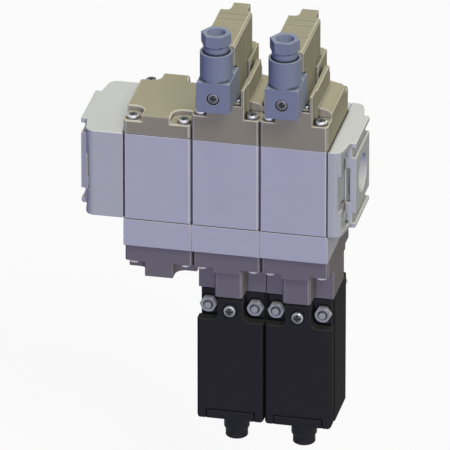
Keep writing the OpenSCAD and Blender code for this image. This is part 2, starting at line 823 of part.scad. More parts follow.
// Small screws that hold the pilot valve by a lug at its front and its back
module pilot_screws() {
    color([0.8, 0.8, 0.83]) for (i = [1, 2], p = pilot_screw_places) {
        translate([module_x(i) + p[0], p[1], pilot_z + lug_t])
            pan_screw(pilot_screw_d, pilot_head_d, 1.5, 5);
    }
}

// Coil housing: tall moulding whose face is stepped back for the cable plug
module coil_housing(i) {
    bevel = 1;
    top = top_z + pilot_top;
    step_z = plug_z1 + 2.2;
    y1 = front + pilot_seam;
    right = pilot_x + pilot_w;
    color([0.64, 0.61, 0.53]) translate([module_x(i), 0, 0]) difference() {
        union() {
            translate([0, y1, 0]) rotate([90, 0, 0]) linear_extrude(y1 - front - plug_face)
                polygon([[pilot_x, pilot_z], [right, pilot_z], [right, top - bevel],
                    [right - bevel, top], [pilot_x, top]]);
            translate([0, front + plug_face + eps, 0]) rotate([90, 0, 0])
                linear_extrude(plug_face + eps - pilot_front)
                polygon([[pilot_x, step_z], [right, step_z], [right, top - bevel],
                    [right - bevel, top], [pilot_x, top]]);
            box([pilot_x, front + 1, pilot_z], [lug_end, front + plug_face + eps, pilot_z + lug_t]);
        }
        // Guide tube of the armature and its seat
        translate([pilot_mid, armature_y, armature_z - 1])
            cylinder(d = armature_d + 2 * run_gap, h = armature_len + armature_room + 1);
        translate([pilot_mid, armature_y, pilot_z - eps]) cylinder(d = air_d, h = 9);
        translate([pilot_screw_places[0][0], pilot_screw_places[0][1], pilot_z - eps])
            cylinder(d = pilot_screw_d + 0.3, h = 3);
        // Thread for the plug's centre screw
        rod_y([plug_mid, front + plug_face - eps, plug_screw_z], screw_d - 0.4, 6);
        // Shallow joint line across the top
        box([pilot_x - eps, front + 16.2, top - 0.3], [right + eps, front + 16.6, top + eps]);
    }
}

module coil_housing_a() { coil_housing(1); }

module coil_housing_b() { coil_housing(2); }

// Valve block behind the coil, with a lower rear block and notched back corners
module pilot_block(i) {
    bevel = 1;
    top = top_z + pilot_top;
    y0 = front + pilot_seam;
    y1 = front + cover_depth;
    right = pilot_x + pilot_w;
    notch = [2.6, 8.2];
    lug_y = pilot_screw_places[1][1];
    color([0.62, 0.59, 0.51]) translate([module_x(i), 0, 0]) difference() {
        union() {
            translate([0, y1, 0]) rotate([90, 0, 0]) linear_extrude(y1 - y0)
                polygon([[pilot_x, pilot_z], [right, pilot_z], [right, top - bevel],
                    [right - bevel, top], [pilot_x, top]]);
            box([pilot_x, y0 + 1, pilot_z], [pilot_x + rear_block_w, y1 - 1.2, top_z + rear_block_top]);
            box([pilot_x - 2 * lug_side - 0.4, lug_y - 2.2, pilot_z],
                [pilot_x + 1, lug_y + 2.2, pilot_z + lug_t]);
        }
        // Back corners of the upper part are cut away in rounded steps
        translate([pilot_x, y1, top_z + rear_block_top]) mirror([0, 1, 0]) linear_extrude(pilot_top)
            corner_pocket(notch[0] + 2, notch[1], 2.4);
        translate([right, y1, top_z + rear_block_top]) mirror([1, 0, 0]) mirror([0, 1, 0])
            linear_extrude(pilot_top) corner_pocket(notch[0], notch[1], 2.4);
        // Hole of the left screw, with a way for its head down the side of the block
        translate([pilot_screw_places[1][0], lug_y, pilot_z - eps])
            cylinder(d = pilot_screw_d + 0.3, h = 3);
        translate([pilot_screw_places[1][0], lug_y, pilot_z + lug_t])
            cylinder(d = pilot_head_d + 0.8, h = 3);
        // Guide hole of the manual override
        rod_y([pilot_mid, y1 - 6, override_z], override_d + 2 * run_gap, 6 + eps);
        for (y = [pilot_seam + 3.6, pilot_seam + 9.2]) {
            box([pilot_x - eps, front + y, top - 0.3], [right + eps, front + y + 0.4, top + eps]);
        }
    }
}

module pilot_block_a() { pilot_block(1); }

module pilot_block_b() { pilot_block(2); }

module armature(i) {
    color([0.7, 0.71, 0.73]) translate([module_x(i) + pilot_mid, armature_y, armature_z]) difference() {
        translate([0, 0, -1 + fit]) cylinder(d = armature_d, h = armature_len);
        translate([0, 0, armature_len - armature_bore]) cylinder(d = 3.4, h = armature_bore + 1);
    }
}

module armature_a() { armature(1); }

module armature_b() { armature(2); }

module armature_spring(i) {
    color([0.8, 0.8, 0.82]) translate([module_x(i) + pilot_mid, armature_y, armature_z])
        coil_spring(2.5, 0.5, armature_len - armature_bore + fit, armature_len + armature_room - fit, 5);
}

module armature_spring_a() { armature_spring(1); }

module armature_spring_b() { armature_spring(2); }

// Manual override: slotted button in the back of the pilot valve
module manual_override(i) {
    y1 = front + cover_depth;
    color([0.85, 0.45, 0.15]) translate([module_x(i) + pilot_mid, y1, override_z]) difference() {
        rod_y([0, -6 + override_travel + seat_gap, 0], override_d, 6 - seat_gap);
        box([-0.3, override_travel - 0.6, -override_d], [0.3, override_travel + 1, override_d]);
    }
}

module manual_override_a() { manual_override(1); }

module manual_override_b() { manual_override(2); }

// Cable plug: square block with a round tower for the gland
module cable_plug(i) {
    x0 = plug_mid - plug_w / 2;
    x1 = x0 + plug_w;
    edge = 0.7;
    color([0.44, 0.46, 0.61]) translate([module_x(i), 0, 0]) difference() {
        union() {
            translate([0, plug_back, 0]) rotate([90, 0, 0]) linear_extrude(plug_d)
                rounded(x0, x1, plug_z0, plug_z1, edge);
            translate([plug_mid, tower_y, plug_z1 - 1]) cylinder(d = tower_d, h = tower_h + 1);
        }
        translate([plug_mid, tower_y, tower_top - gland_seat])
            cylinder(r = gland_r, h = gland_seat + eps);
        translate([plug_mid, tower_y, plug_z1 - 6])
            cylinder(d = cable_d, h = tower_h + 6);
        rod_y([plug_mid, plug_front - eps, plug_screw_z], 5.8, 2 + eps);
        rod_y([plug_mid, plug_front, plug_screw_z], screw_d + 0.4, plug_d + eps);
    }
}

module cable_plug_a() { cable_plug(1); }

module cable_plug_b() { cable_plug(2); }

// Flat gaskets between cable plug and coil housing
module plug_gaskets() {
    inset = 0.6;
    color([0.1, 0.1, 0.11]) for (i = [1, 2]) {
        translate([module_x(i), 0, 0]) difference() {
            box([pilot_x + inset, plug_back, plug_z0 + inset],
                [pilot_x + pilot_w - inset, front + plug_face, plug_z1 - inset]);
            rod_y([plug_mid, plug_back - eps, plug_screw_z], screw_d + 0.4, 2);
        }
    }
}

module plug_screws() {
    color([0.8, 0.8, 0.83]) for (i = [1, 2]) {
        translate([module_x(i) + plug_mid, plug_front + 2, plug_screw_z])
            rotate([90, 0, 0]) pan_screw(screw_d - 0.5, 5.2, 1.9, plug_d + 2);
    }
}

// Gland nut with its neck in the tower and a hexagon on top
module gland_nut(i) {
    color([0.48, 0.5, 0.62]) translate([module_x(i) + plug_mid, tower_y, tower_top]) difference() {
        union() {
            translate([0, 0, -gland_seat + 2.2]) cylinder(r = gland_r - fit, h = gland_seat - 2.2 + neck_h);
            // Hexagon, its underside chamfered to a cone
            intersection() {
                translate([0, 0, neck_h]) cylinder(d = hex_af / cos(30), h = hex_h, $fn = 6);
                rotate_extrude() polygon([[0, neck_h - 1], [hex_af / 2 - 1, neck_h - 1],
                    [hex_af / 2 + 1, neck_h + 1], [hex_af / 2 + 1, neck_h + hex_h + 1],
                    [0, neck_h + hex_h + 1]]);
            }
        }
        translate([0, 0, -gland_seat]) cylinder(d = cable_d, h = gland_seat + neck_h + hex_h + eps);
    }
}

module gland_nut_a() { gland_nut(1); }

module gland_nut_b() { gland_nut(2); }

// Rubber cable seal under the gland nut
module gland_seal(i) {
    color([0.1, 0.1, 0.11]) translate([module_x(i) + plug_mid, tower_y, tower_top - gland_seat])
        difference() {
            cylinder(r = gland_r - fit, h = 2.2);
            translate([0, 0, -eps]) cylinder(d = seal_hole_d, h = 4);
        }
}

module gland_seal_a() { gland_seal(1); }

module gland_seal_b() { gland_seal(2); }

// Bottom cover with the spring pocket and the guide of the switch rod
module bottom_cover(i) {
    side = (pitch - tongue_w) / 2;
    color([0.38, 0.37, 0.42]) translate([module_x(i), 0, low_z]) mirror([0, 0, 1]) difference() {
        translate([0, bottom_set, 0])
            cover_form(short_cover_h, bottom_floor_h, [side, side], [side, side]);
        translate([mid_x, 0, -eps]) cylinder(d = 12.4, h = short_cover_h - 4.9 + eps);
        translate([mid_x, 0, 0]) cylinder(d = rod_d + 2 * run_gap, h = short_cover_h + eps);
        for (p = bracket_screw_places) {
            translate([p[0], p[1], short_cover_h - 6]) cylinder(d = screw_d + 2 * fit, h = 7);
        }
    }
}

module bottom_cover_a() { bottom_cover(1); }

module bottom_cover_b() { bottom_cover(2); }

// Bracket: centre boss at the front, stepped corner blocks and a plate behind the switch
module switch_bracket(i) {
    side = (pitch - tongue_w) / 2;
    x0 = side_gap / 2;
    x1 = pitch - side_gap / 2;
    plate_x = (pitch - back_plate_w) / 2;
    back_y = front + bracket_depth;
    color([0.4, 0.38, 0.44]) translate([module_x(i), 0, 0]) difference() {
        union() {
            translate([0, 0, switch_top]) linear_extrude(bracket_h)
                chamfered(side, pitch - side, front + boss_set, front + block_set + 4, 0.9);
            box([x0, front + block_set, switch_top], [x1, back_y, cover_z]);
            // Plate that the switch is bolted to
            box([plate_x, back_y - 2, switch_top],
                [pitch - plate_x, sw_back + back_plate_t, switch_top + 3]);
            translate([0, sw_back + back_plate_t, 0]) rotate([90, 0, 0]) linear_extrude(back_plate_t)
                rounded(plate_x, pitch - plate_x, switch_top - back_plate_h, switch_top + 3, 2.5);
        }
        // Way for the rod
        translate([mid_x, 0, switch_top - eps]) cylinder(d = 12, h = bracket_h + 2 * eps);
        for (p = bracket_screw_places) {
            translate([p[0], p[1], switch_top - eps]) cylinder(d = screw_d + 0.4, h = bracket_h + 2 * eps);
            translate([p[0], p[1], switch_top - eps])
                cylinder(d = screw_head_d + 0.4, h = bracket_seat + eps);
        }
        for (s = [-1, 1]) {
            rod_y([mid_x + s * bolt_span / 2, sw_back - eps, bolt_z], bolt_d + 0.2, back_plate_t + 2);
        }
    }
}

module switch_bracket_a() { switch_bracket(1); }

module switch_bracket_b() { switch_bracket(2); }

module bracket_screws() {
    color([0.7, 0.71, 0.73]) for (i = [1, 2], p = bracket_screw_places) {
        translate([module_x(i) + p[0], p[1], switch_top + bracket_seat]) mirror([0, 0, 1])
            socket_screw(screw_d, screw_head_d - 0.2, bracket_seat - 0.4, bracket_h - bracket_seat + 5);
    }
}

// Outline of the switch seen from the front, with the nut notches where asked
module switch_outline(x0, x1, low, top, notched) {
    difference() {
        rounded(x0, x1, low, top + 3, 1.6);
        translate([x0 - 1, top]) square([x1 - x0 + 2, 4]);
        if (notched) {
            translate([x0, switch_top]) mirror([0, 1]) corner_pocket(notch_w, notch_h, 3.4);
            translate([x1, switch_top]) mirror([0, 1]) mirror([1, 0]) corner_pocket(notch_w, notch_h, 3.4);
        }
    }
}

// Housing: narrow neck behind the front cover, then the full body
module switch_housing(i) {
    neck_d = 4.6;
    neck_in = 1;
    x0 = side_gap;
    x1 = pitch - side_gap;
    color([0.15, 0.15, 0.18]) translate([module_x(i), 0, 0]) difference() {
        union() {
            translate([0, sw_mid + neck_d, 0]) rotate([90, 0, 0]) linear_extrude(neck_d)
                switch_outline(x0 + neck_in, x1 - neck_in, switch_low + 2.8, switch_top, false);
            difference() {
                translate([0, sw_back, 0]) rotate([90, 0, 0]) linear_extrude(switch_d - front_t - neck_d)
                    switch_outline(x0, x1, switch_low, switch_top, false);
                // Bevelled upright edges at the back
                for (s = [0, 1]) {
                    translate([s > 0 ? x1 : x0, sw_back, switch_low - 1]) rotate(45)
                        translate([-1.1, -1.1, 0]) cube([2.2, 2.2, switch_h + 2]);
                }
            }
        }
        // Plunger guide and spring chamber
        translate([mid_x, 0, switch_top - 5]) cylinder(d = plunger_d + 2 * run_gap, h = 6);
        translate([mid_x, 0, chamber_low]) cylinder(d = chamber_d, h = chamber_top - chamber_low);
        for (s = [-1, 1]) {
            rod_y([mid_x + s * bolt_span / 2, sw_mid - eps, bolt_z], bolt_d + 0.2, switch_d);
        }
        rod_y([mid_x, sw_mid - eps, panel_screw_z], screw_d - 0.4, 7);
        // Socket that holds the connector
        translate([mid_x, connector_y, switch_low - eps]) cylinder(d = collar_d - 2 + 2 * fit, h = 5 + eps);
    }
}

module switch_housing_a() { switch_housing(1); }

module switch_housing_b() { switch_housing(2); }

// Front cover of the switch, with the nut notches and a panel joint at its foot
module switch_front(i) {
    x0 = side_gap;
    x1 = pitch - side_gap;
    low = switch_low + front_up;
    round_r = 1.8;
    color([0.16, 0.16, 0.2]) translate([module_x(i), 0, 0]) difference() {
        translate([0, sw_mid, 0]) rotate([90, 0, 0]) linear_extrude(front_t)
            switch_outline(x0, x1, low, switch_top - front_down, true);
        for (s = [0, 1]) {
            translate([s > 0 ? x1 : x0, sw_front, switch_low - 1])
                round_cutter(round_r, switch_h + 2, s > 0 ? 1 : -1, -1);
        }
        rod_y([mid_x, sw_front - eps, panel_screw_z], screw_d + 0.4, front_t + 1);
        // Joint line of the foot panel
        difference() {
            box([mid_x - 11.6, sw_front - eps, low - eps], [mid_x + 11.6, sw_front + 0.4, low + 4.7]);
            box([mid_x - 11.2, sw_front - 1, low - 1], [mid_x + 11.2, sw_front + 1, low + 4.3]);
        }
    }
}

module switch_front_a() { switch_front(1); }

module switch_front_b() { switch_front(2); }

module switch_front_screws() {
    color([0.8, 0.8, 0.83]) for (i = [1, 2]) {
        translate([module_x(i) + mid_x, sw_front, panel_screw_z])
            rotate([90, 0, 0]) pan_screw(screw_d - 0.5, panel_head_d, panel_head_h, 11);
    }
}

// Bolts from behind the plate, with rounded ends in front of the nuts
module switch_bolts() {
    bolt_len = back_plate_t + switch_d - front_t + nut_t + bolt_over;
    color([0.72, 0.73, 0.76]) for (i = [1, 2], s = [-1, 1]) {
        translate([module_x(i) + mid_x + s * bolt_span / 2, sw_back + back_plate_t, bolt_z])
            rotate([-90, 0, 0]) {
                cylinder(d = nut_af / cos(30), h = hex_head_h, $fn = 6);
                translate([0, 0, bolt_chamfer - bolt_len])
                    cylinder(d = bolt_d, h = bolt_len - bolt_chamfer + 1);
                translate([0, 0, -bolt_len])
                    cylinder(d1 = bolt_d - 1, d2 = bolt_d, h = bolt_chamfer + 0.001);
            }
    }
}

// Hexagon nuts on the front side of the housing
module switch_nuts() {
    color([0.72, 0.73, 0.76]) for (i = [1, 2], s = [-1, 1]) {
        translate([module_x(i) + mid_x + s * bolt_span / 2, sw_mid, bolt_z])
            rotate([90, 0, 0]) difference() {
                intersection() {
                    cylinder(d = nut_af / cos(30), h = nut_t, $fn = 6);
                    translate([0, 0, nut_t / 2]) sphere(r = nut_af * 0.61, $fn = 96);
                }
                translate([0, 0, -eps]) cylinder(d = bolt_d + 2 * fit, h = nut_t + 2 * eps);
            }
    }
}

// Switch plunger, kept in its chamber by a collar
module switch_plunger(i) {
    tip = switch_top + plunger_up;
    collar = chamber_top - seat_gap;
    r = plunger_d / 2;
    color([0.78, 0.79, 0.8]) translate([module_x(i) + mid_x, 0, 0]) rotate_extrude()
        polygon([[0, tip], [r - 0.9, tip], [r, tip - 0.9], [r, collar], [r + 1.4, collar],
            [r + 1.4, collar - 1.6], [1.5, collar - 1.6], [1.5, collar - 8], [0, collar - 8]]);
}

module switch_plunger_a() { switch_plunger(1); }

module switch_plunger_b() { switch_plunger(2); }

module plunger_spring(i) {
    collar = chamber_top - seat_gap;
    color([0.8, 0.8, 0.82]) translate([module_x(i) + mid_x, 0, 0])
        coil_spring(5.8, 0.8, chamber_low + fit, collar - 1.6 - fit, 6);
}

module plunger_spring_a() { plunger_spring(1); }

module plunger_spring_b() { plunger_spring(2); }

// Round connector under the switch: collar, plug end and four contact pins
module switch_connector(i) {
    end_z = switch_low - collar_h - end_h;
    color([0.2, 0.21, 0.22]) translate([module_x(i) + mid_x, connector_y, 0]) {
        difference() {
            union() {
                translate([0, 0, switch_low - collar_h]) cylinder(d = collar_d, h = collar_h);
                translate([0, 0, switch_low - 1]) cylinder(d = collar_d - 2, h = 6 - seat_gap);
                translate([0, 0, end_z]) cylinder(d = end_d, h = end_h + 1);
            }
            translate([0, 0, end_z - eps]) cylinder(d = end_d - 2.2, h = 7.5 + eps);
        }
        for (a = [45:90:315]) {
            rotate(a) translate([2.1, 0, end_z + 1]) cylinder(d = 1, h = 7);
        }
    }
}

module switch_connector_a() { switch_connector(1); }

module switch_connector_b() { switch_connector(2); }

outlet_end_block();
inlet_end_block();
port_seals();
tie_screws();
soft_start_body();
soft_start_top_cover();
soft_start_bottom_cover();
soft_start_piston();
soft_start_spring();
cover_screws();
base_screws();
valve_body_a();
valve_body_b();
pilot_base_a();
pilot_base_b();
coil_housing_a();
coil_housing_b();
pilot_block_a();
pilot_block_b();
pilot_screws();
armature_a();
armature_b();
armature_spring_a();
armature_spring_b();
manual_override_a();
manual_override_b();
cable_plug_a();
cable_plug_b();
plug_gaskets();
plug_screws();
gland_nut_a();
gland_nut_b();
gland_seal_a();
gland_seal_b();
pilot_piston_a();
pilot_piston_b();
main_spool_a();
main_spool_b();
return_spring_a();
return_spring_b();
bottom_cover_a();
bottom_cover_b();
switch_bracket_a();
switch_bracket_b();
bracket_screws();
switch_housing_a();
switch_housing_b();
switch_front_a();
switch_front_b();
switch_front_screws();
switch_bolts();
switch_nuts();
switch_plunger_a();
switch_plunger_b();
plunger_spring_a();
plunger_spring_b();
switch_connector_a();
switch_connector_b();
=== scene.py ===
"""Dresses a modular row of pneumatic valves with finishes, fasteners, threads and a studio."""

import json
import math

import bmesh
import bpy
import numpy as np
from bpy.props import FloatProperty, FloatVectorProperty, IntProperty, PointerProperty
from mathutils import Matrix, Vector

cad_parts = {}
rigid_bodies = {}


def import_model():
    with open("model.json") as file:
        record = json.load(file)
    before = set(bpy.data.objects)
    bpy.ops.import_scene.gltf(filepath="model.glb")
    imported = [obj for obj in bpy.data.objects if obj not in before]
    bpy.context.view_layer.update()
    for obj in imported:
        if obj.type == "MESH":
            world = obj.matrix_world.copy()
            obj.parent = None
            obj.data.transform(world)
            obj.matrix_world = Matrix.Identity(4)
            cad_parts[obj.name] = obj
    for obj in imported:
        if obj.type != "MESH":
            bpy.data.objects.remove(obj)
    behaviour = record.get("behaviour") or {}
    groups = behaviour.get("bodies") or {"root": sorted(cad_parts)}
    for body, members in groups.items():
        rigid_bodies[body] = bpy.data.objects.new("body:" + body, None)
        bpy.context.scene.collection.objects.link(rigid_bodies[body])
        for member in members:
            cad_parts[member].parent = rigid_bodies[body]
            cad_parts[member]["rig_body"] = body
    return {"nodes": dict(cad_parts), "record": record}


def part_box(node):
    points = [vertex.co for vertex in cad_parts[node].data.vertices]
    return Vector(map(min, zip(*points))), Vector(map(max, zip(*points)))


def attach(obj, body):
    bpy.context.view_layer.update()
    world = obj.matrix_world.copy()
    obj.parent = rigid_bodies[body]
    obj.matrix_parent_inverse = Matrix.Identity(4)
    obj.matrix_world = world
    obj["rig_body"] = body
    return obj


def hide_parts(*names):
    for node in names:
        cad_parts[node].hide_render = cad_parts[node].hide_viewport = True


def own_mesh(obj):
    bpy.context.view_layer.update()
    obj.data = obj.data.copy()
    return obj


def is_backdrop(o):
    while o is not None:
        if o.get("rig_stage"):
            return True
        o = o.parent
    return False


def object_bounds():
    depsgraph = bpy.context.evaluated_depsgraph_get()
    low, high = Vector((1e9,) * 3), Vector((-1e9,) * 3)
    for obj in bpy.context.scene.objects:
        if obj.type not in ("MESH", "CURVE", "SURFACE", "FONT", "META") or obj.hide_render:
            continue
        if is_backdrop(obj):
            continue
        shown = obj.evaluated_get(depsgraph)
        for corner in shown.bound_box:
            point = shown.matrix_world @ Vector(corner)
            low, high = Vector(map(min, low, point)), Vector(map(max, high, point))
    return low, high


bl_info = {
    "name": "Valve row dressing",
    "version": (1, 0, 0),
    "blender": (4, 5, 0),
    "location": "3D View > Sidebar > Valve row",
    "description": "Finishes, fasteners and studio for a soft start and relief valve row",
    "category": "Object",
}

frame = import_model()
NODES = frame["nodes"]
MM = 0.001
TURN = 2 * math.pi
RIGHT, UP, DOWN, FORWARD = (1, 0, 0), (0, 0, 1), (0, 0, -1), (0, -1, 0)
WELD = 2e-3 * MM  # corners closer than this are one corner
SMOOTH_ANGLE = 35.0  # turned pieces keep edges sharper than this, in degrees
EDGE_ANGLE = 38.0  # CAD edges sharper than this are rounded, in degrees
HEAD_ROWS = 21  # rows of faces on the dome of a pan head, within its rim
NUT_ROWS = 7  # rows of faces on the outside of a nut, before its hole
THREAD_STEPS = 9  # rings on a pitch of thread


# ---------------------------------------------------------------- settings
def colour(label, note, value):
    """A colour setting with its name, its description and its default."""
    return FloatVectorProperty(
        name=label, description=note, subtype="COLOR", size=3, min=0.0, max=1.0, default=value
    )


def length(label, note, value):
    """A length setting in metres."""
    return FloatProperty(name=label, description=note, unit="LENGTH", min=0.0, default=value)


class ValveRowColours(bpy.types.PropertyGroup):
    """Base colours of the finishes."""

    casting: colour("Casting", "Painted end blocks", (0.60, 0.61, 0.58))
    body: colour("Body", "Painted valve bodies", (0.60, 0.60, 0.635))
    cover: colour("Cover", "Upper covers, pilot bases and pilot valves", (0.385, 0.355, 0.245))
    foot: colour("Foot", "Lower covers and switch brackets", (0.238, 0.216, 0.218))
    plug: colour("Plug", "Cable plugs and gland nuts", (0.275, 0.31, 0.385))
    switch: colour("Switch", "Limit switch housings", (0.034, 0.034, 0.034))
    connector: colour("Connector", "Round plug ends of the switches", (0.028, 0.028, 0.030))
    steel: colour("Steel", "Zinc plated screws, nuts and bolts", (0.37, 0.37, 0.37))
    brass: colour("Brass", "Turned brass pieces", (0.74, 0.56, 0.27))
    rubber: colour("Rubber", "Seals and gaskets", (0.022, 0.022, 0.024))
    button: colour("Button", "Manual override buttons", (0.72, 0.23, 0.05))


class ValveRowDetail(bpy.types.PropertyGroup):
    """Sizes of the fine detail."""

    edge_round: length("Edge round", "Radius on the edges of castings and mouldings", 0.35 * MM)
    recess_depth: length("Recess depth", "Depth of the cross recess in a screw head", 1.0 * MM)
    recess_width: length("Recess width", "Width of a bar of the cross recess", 0.8 * MM)
    thread_pitch: length("Thread pitch", "Pitch of the switch bolts", 0.7 * MM)
    thread_depth: length("Thread depth", "Depth of the threads on the switch bolts", 0.35 * MM)
    port_pitch: length("Port pitch", "Pitch of the thread in the exhaust ports", 1.34 * MM)
    gland_turn: FloatProperty(
        name="Gland turn",
        description="How far each gland nut is turned from the row's axis",
        subtype="ANGLE",
        default=0.0,
    )
    around: IntProperty(
        name="Steps around", description="Steps round a turned piece", min=24, default=96
    )


class ValveRowStudio(bpy.types.PropertyGroup):
    """Camera, lamps and floor."""

    azimuth: FloatProperty(
        name="Azimuth", description="Camera turn round the row", subtype="ANGLE",
        default=math.radians(12.3),
    )
    elevation: FloatProperty(
        name="Elevation", description="Camera height above the horizon", subtype="ANGLE",
        default=math.radians(26.1),
    )
    distance: length("Distance", "Camera distance, long enough for a near parallel view", 5.774)
    lens: FloatProperty(name="Lens", description="Focal length in mm", default=1000.0)
    aim: FloatVectorProperty(
        name="Aim", description="Point at the middle of the picture", size=3,
        subtype="TRANSLATION", default=(0.0645, 0.0, -0.0339),
    )
    floor_drop: length("Floor drop", "Floor below the row's lowest point", 0.06)
    key_light: FloatProperty(name="Key light", description="Strength of the key lamp", default=2.1)
    front_light: FloatProperty(name="Front light", description="Strength in front", default=0.9)
    top_light: FloatProperty(name="Top light", description="Strength from above", default=1.15)
    rim_light: FloatProperty(name="Rim light", description="Strength behind the row", default=0.6)
    sky: FloatProperty(name="Sky", description="Strength of the light from all sides", default=0.06)
    key_tint: colour("Key tint", "Colour of the key lamp", (1.0, 1.0, 0.96))
    front_tint: colour("Front tint", "Colour of the lamp in front", (0.13, 0.12, 1.0))


# ---------------------------------------------------------------- arrays to meshes
def make_object(name, verts, faces):
    """Object from a vertex array and a list of face arrays, outward normals, shaded by angle."""
    mesh = bpy.data.meshes.new(name)
    mesh.from_pydata(verts.tolist(), [], [f for part in faces for f in part.tolist()])
    work = bmesh.new()
    work.from_mesh(mesh)
    bmesh.ops.recalc_face_normals(work, faces=work.faces)
    work.to_mesh(mesh)
    work.free()
    mesh.shade_smooth()
    mesh.set_sharp_from_angle(angle=math.radians(SMOOTH_ANGLE))
    obj = bpy.data.objects.new(name, mesh)
    bpy.context.scene.collection.objects.link(obj)
    return obj


def tube_faces(rings, around, closed=False):
    """Quads between neighbouring rings of a grid, each ring wrapped on itself."""
    count = rings if closed else rings - 1
    i, j = np.meshgrid(np.arange(count), np.arange(around), indexing="ij")
    k = (i + 1) % rings
    n = (j + 1) % around
    quads = np.stack([i * around + j, i * around + n, k * around + n, k * around + j], axis=-1)
    return quads.reshape(-1, 4)


def solid_of_turns(grid):
    """Vertices and faces of a grid (rings, around, 3) with a fan to the middle of each end ring."""
    rings, around = grid.shape[:2]
    poles = np.stack([grid[0].mean(axis=0), grid[-1].mean(axis=0)])
    verts = np.concatenate([grid.reshape(-1, 3), poles])
    first = rings * around
    j = np.arange(around)
    n = (j + 1) % around
    last_row = (rings - 1) * around
    start = np.stack([np.full(around, first), n, j], axis=-1)
    end = np.stack([np.full(around, first + 1), last_row + j, last_row + n], axis=-1)
    return verts, [tube_faces(rings, around), start, end]


def ring_of_turns(grid):
    """Vertices and faces of a grid (rings, around, 3) closed on itself both ways."""
    rings, around = grid.shape[:2]
    return grid.reshape(-1, 3), [tube_faces(rings, around, closed=True)]


def turned(radius, height, around):
    """Grid of points at radius (rings, around or 1) and height about the z axis."""
    angle = np.linspace(0, TURN, around, endpoint=False)[None, :]
    r = np.broadcast_to(radius, (radius.shape[0], around))
    z = np.broadcast_to(height, (height.shape[0], around))
    return np.stack([r * np.cos(angle), r * np.sin(angle), z], axis=-1)


def rounded_profile(points, radii, steps=4):
    """Polyline whose corner k is replaced by a quadratic arc that starts radii[k] before it."""
    points = np.asarray(points, float)
    out = [points[:1]]
    for before, corner, after, r in zip(points, points[1:], points[2:], radii):
        if r <= 0:
            out.append(corner[None, :])
            continue
        u = before - corner
        w = after - corner
        u = u / np.linalg.norm(u) * min(r, np.linalg.norm(u) / 2)
        w = w / np.linalg.norm(w) * min(r, np.linalg.norm(w) / 2)
        t = np.linspace(0, 1, steps + 1)[:, None]
        out.append(corner + (1 - t) ** 2 * u + t**2 * w)
    out.append(points[-1:])
    return np.concatenate(out)


def resample(profile, step):
    """Profile with its long stretches cut into pieces of about one step."""
    gaps = np.linalg.norm(np.diff(profile, axis=0), axis=1)
    counts = np.maximum(1, np.round(gaps / step).astype(int))
    parts = [
        a + (b - a) * np.linspace(0, 1, n, endpoint=False)[:, None]
        for a, b, n in zip(profile, profile[1:], counts)
    ]
    return np.concatenate(parts + [profile[-1:]])


def placed(shape, places):
    """One shape repeated at many frames; a frame is (origin, x direction, z direction)."""
    verts, faces = shape
    all_verts, all_faces = [], []
    for k, (origin, x_dir, z_dir) in enumerate(places):
        x_axis = np.asarray(x_dir, float)
        z_axis = np.asarray(z_dir, float)
        axes = np.stack([x_axis, np.cross(z_axis, x_axis), z_axis])
        all_verts.append(verts @ axes + np.asarray(origin, float))
        all_faces.extend(f + k * len(verts) for f in faces)
    return np.concatenate(all_verts), all_faces


def join(shapes):
    """Several shapes as one."""
    verts, faces, count = [], [], 0
    for v, f in shapes:
        verts.append(v)
        faces.extend(part + count for part in f)
        count += len(v)
    return np.concatenate(verts), faces


def face_count(shape):
    """How many faces a shape has."""
    return sum(len(part) for part in shape[1])


def solids_of(name):
    """Boxes (low, high) of the separate solids in a CAD node, found by joining shared corners."""
    mesh = NODES[name].data
    co = np.empty(len(mesh.vertices) * 3, np.float32)
    mesh.vertices.foreach_get("co", co)
    co = co.reshape(-1, 3)
    _, weld = np.unique(np.round(co / WELD).astype(np.int64), axis=0, return_inverse=True)
    weld = weld.ravel()
    edges = np.empty(len(mesh.edges) * 2, np.int32)
    mesh.edges.foreach_get("vertices", edges)
    a, b = weld[edges.reshape(-1, 2)].T
    label = np.arange(weld.max() + 1)
    while True:
        low = np.minimum(label[a], label[b])
        new = label.copy()
        np.minimum.at(new, a, low)
        np.minimum.at(new, b, low)
        new = new[new]
        if np.array_equal(new, label):
            break
        label = new
    owner = label[weld]
    boxes = [(co[owner == s].min(axis=0), co[owner == s].max(axis=0)) for s in np.unique(owner)]
    return sorted(boxes, key=lambda box: tuple(np.round(box[0], 5).tolist()))


# ---------------------------------------------------------------- shapes
def hex_radius(flats, angle):
    """Distance from the middle of a hexagon to its side, with corners at angle 0 and every 60."""
    return flats / 2 / np.cos((angle % (TURN / 6)) - TURN / 12)


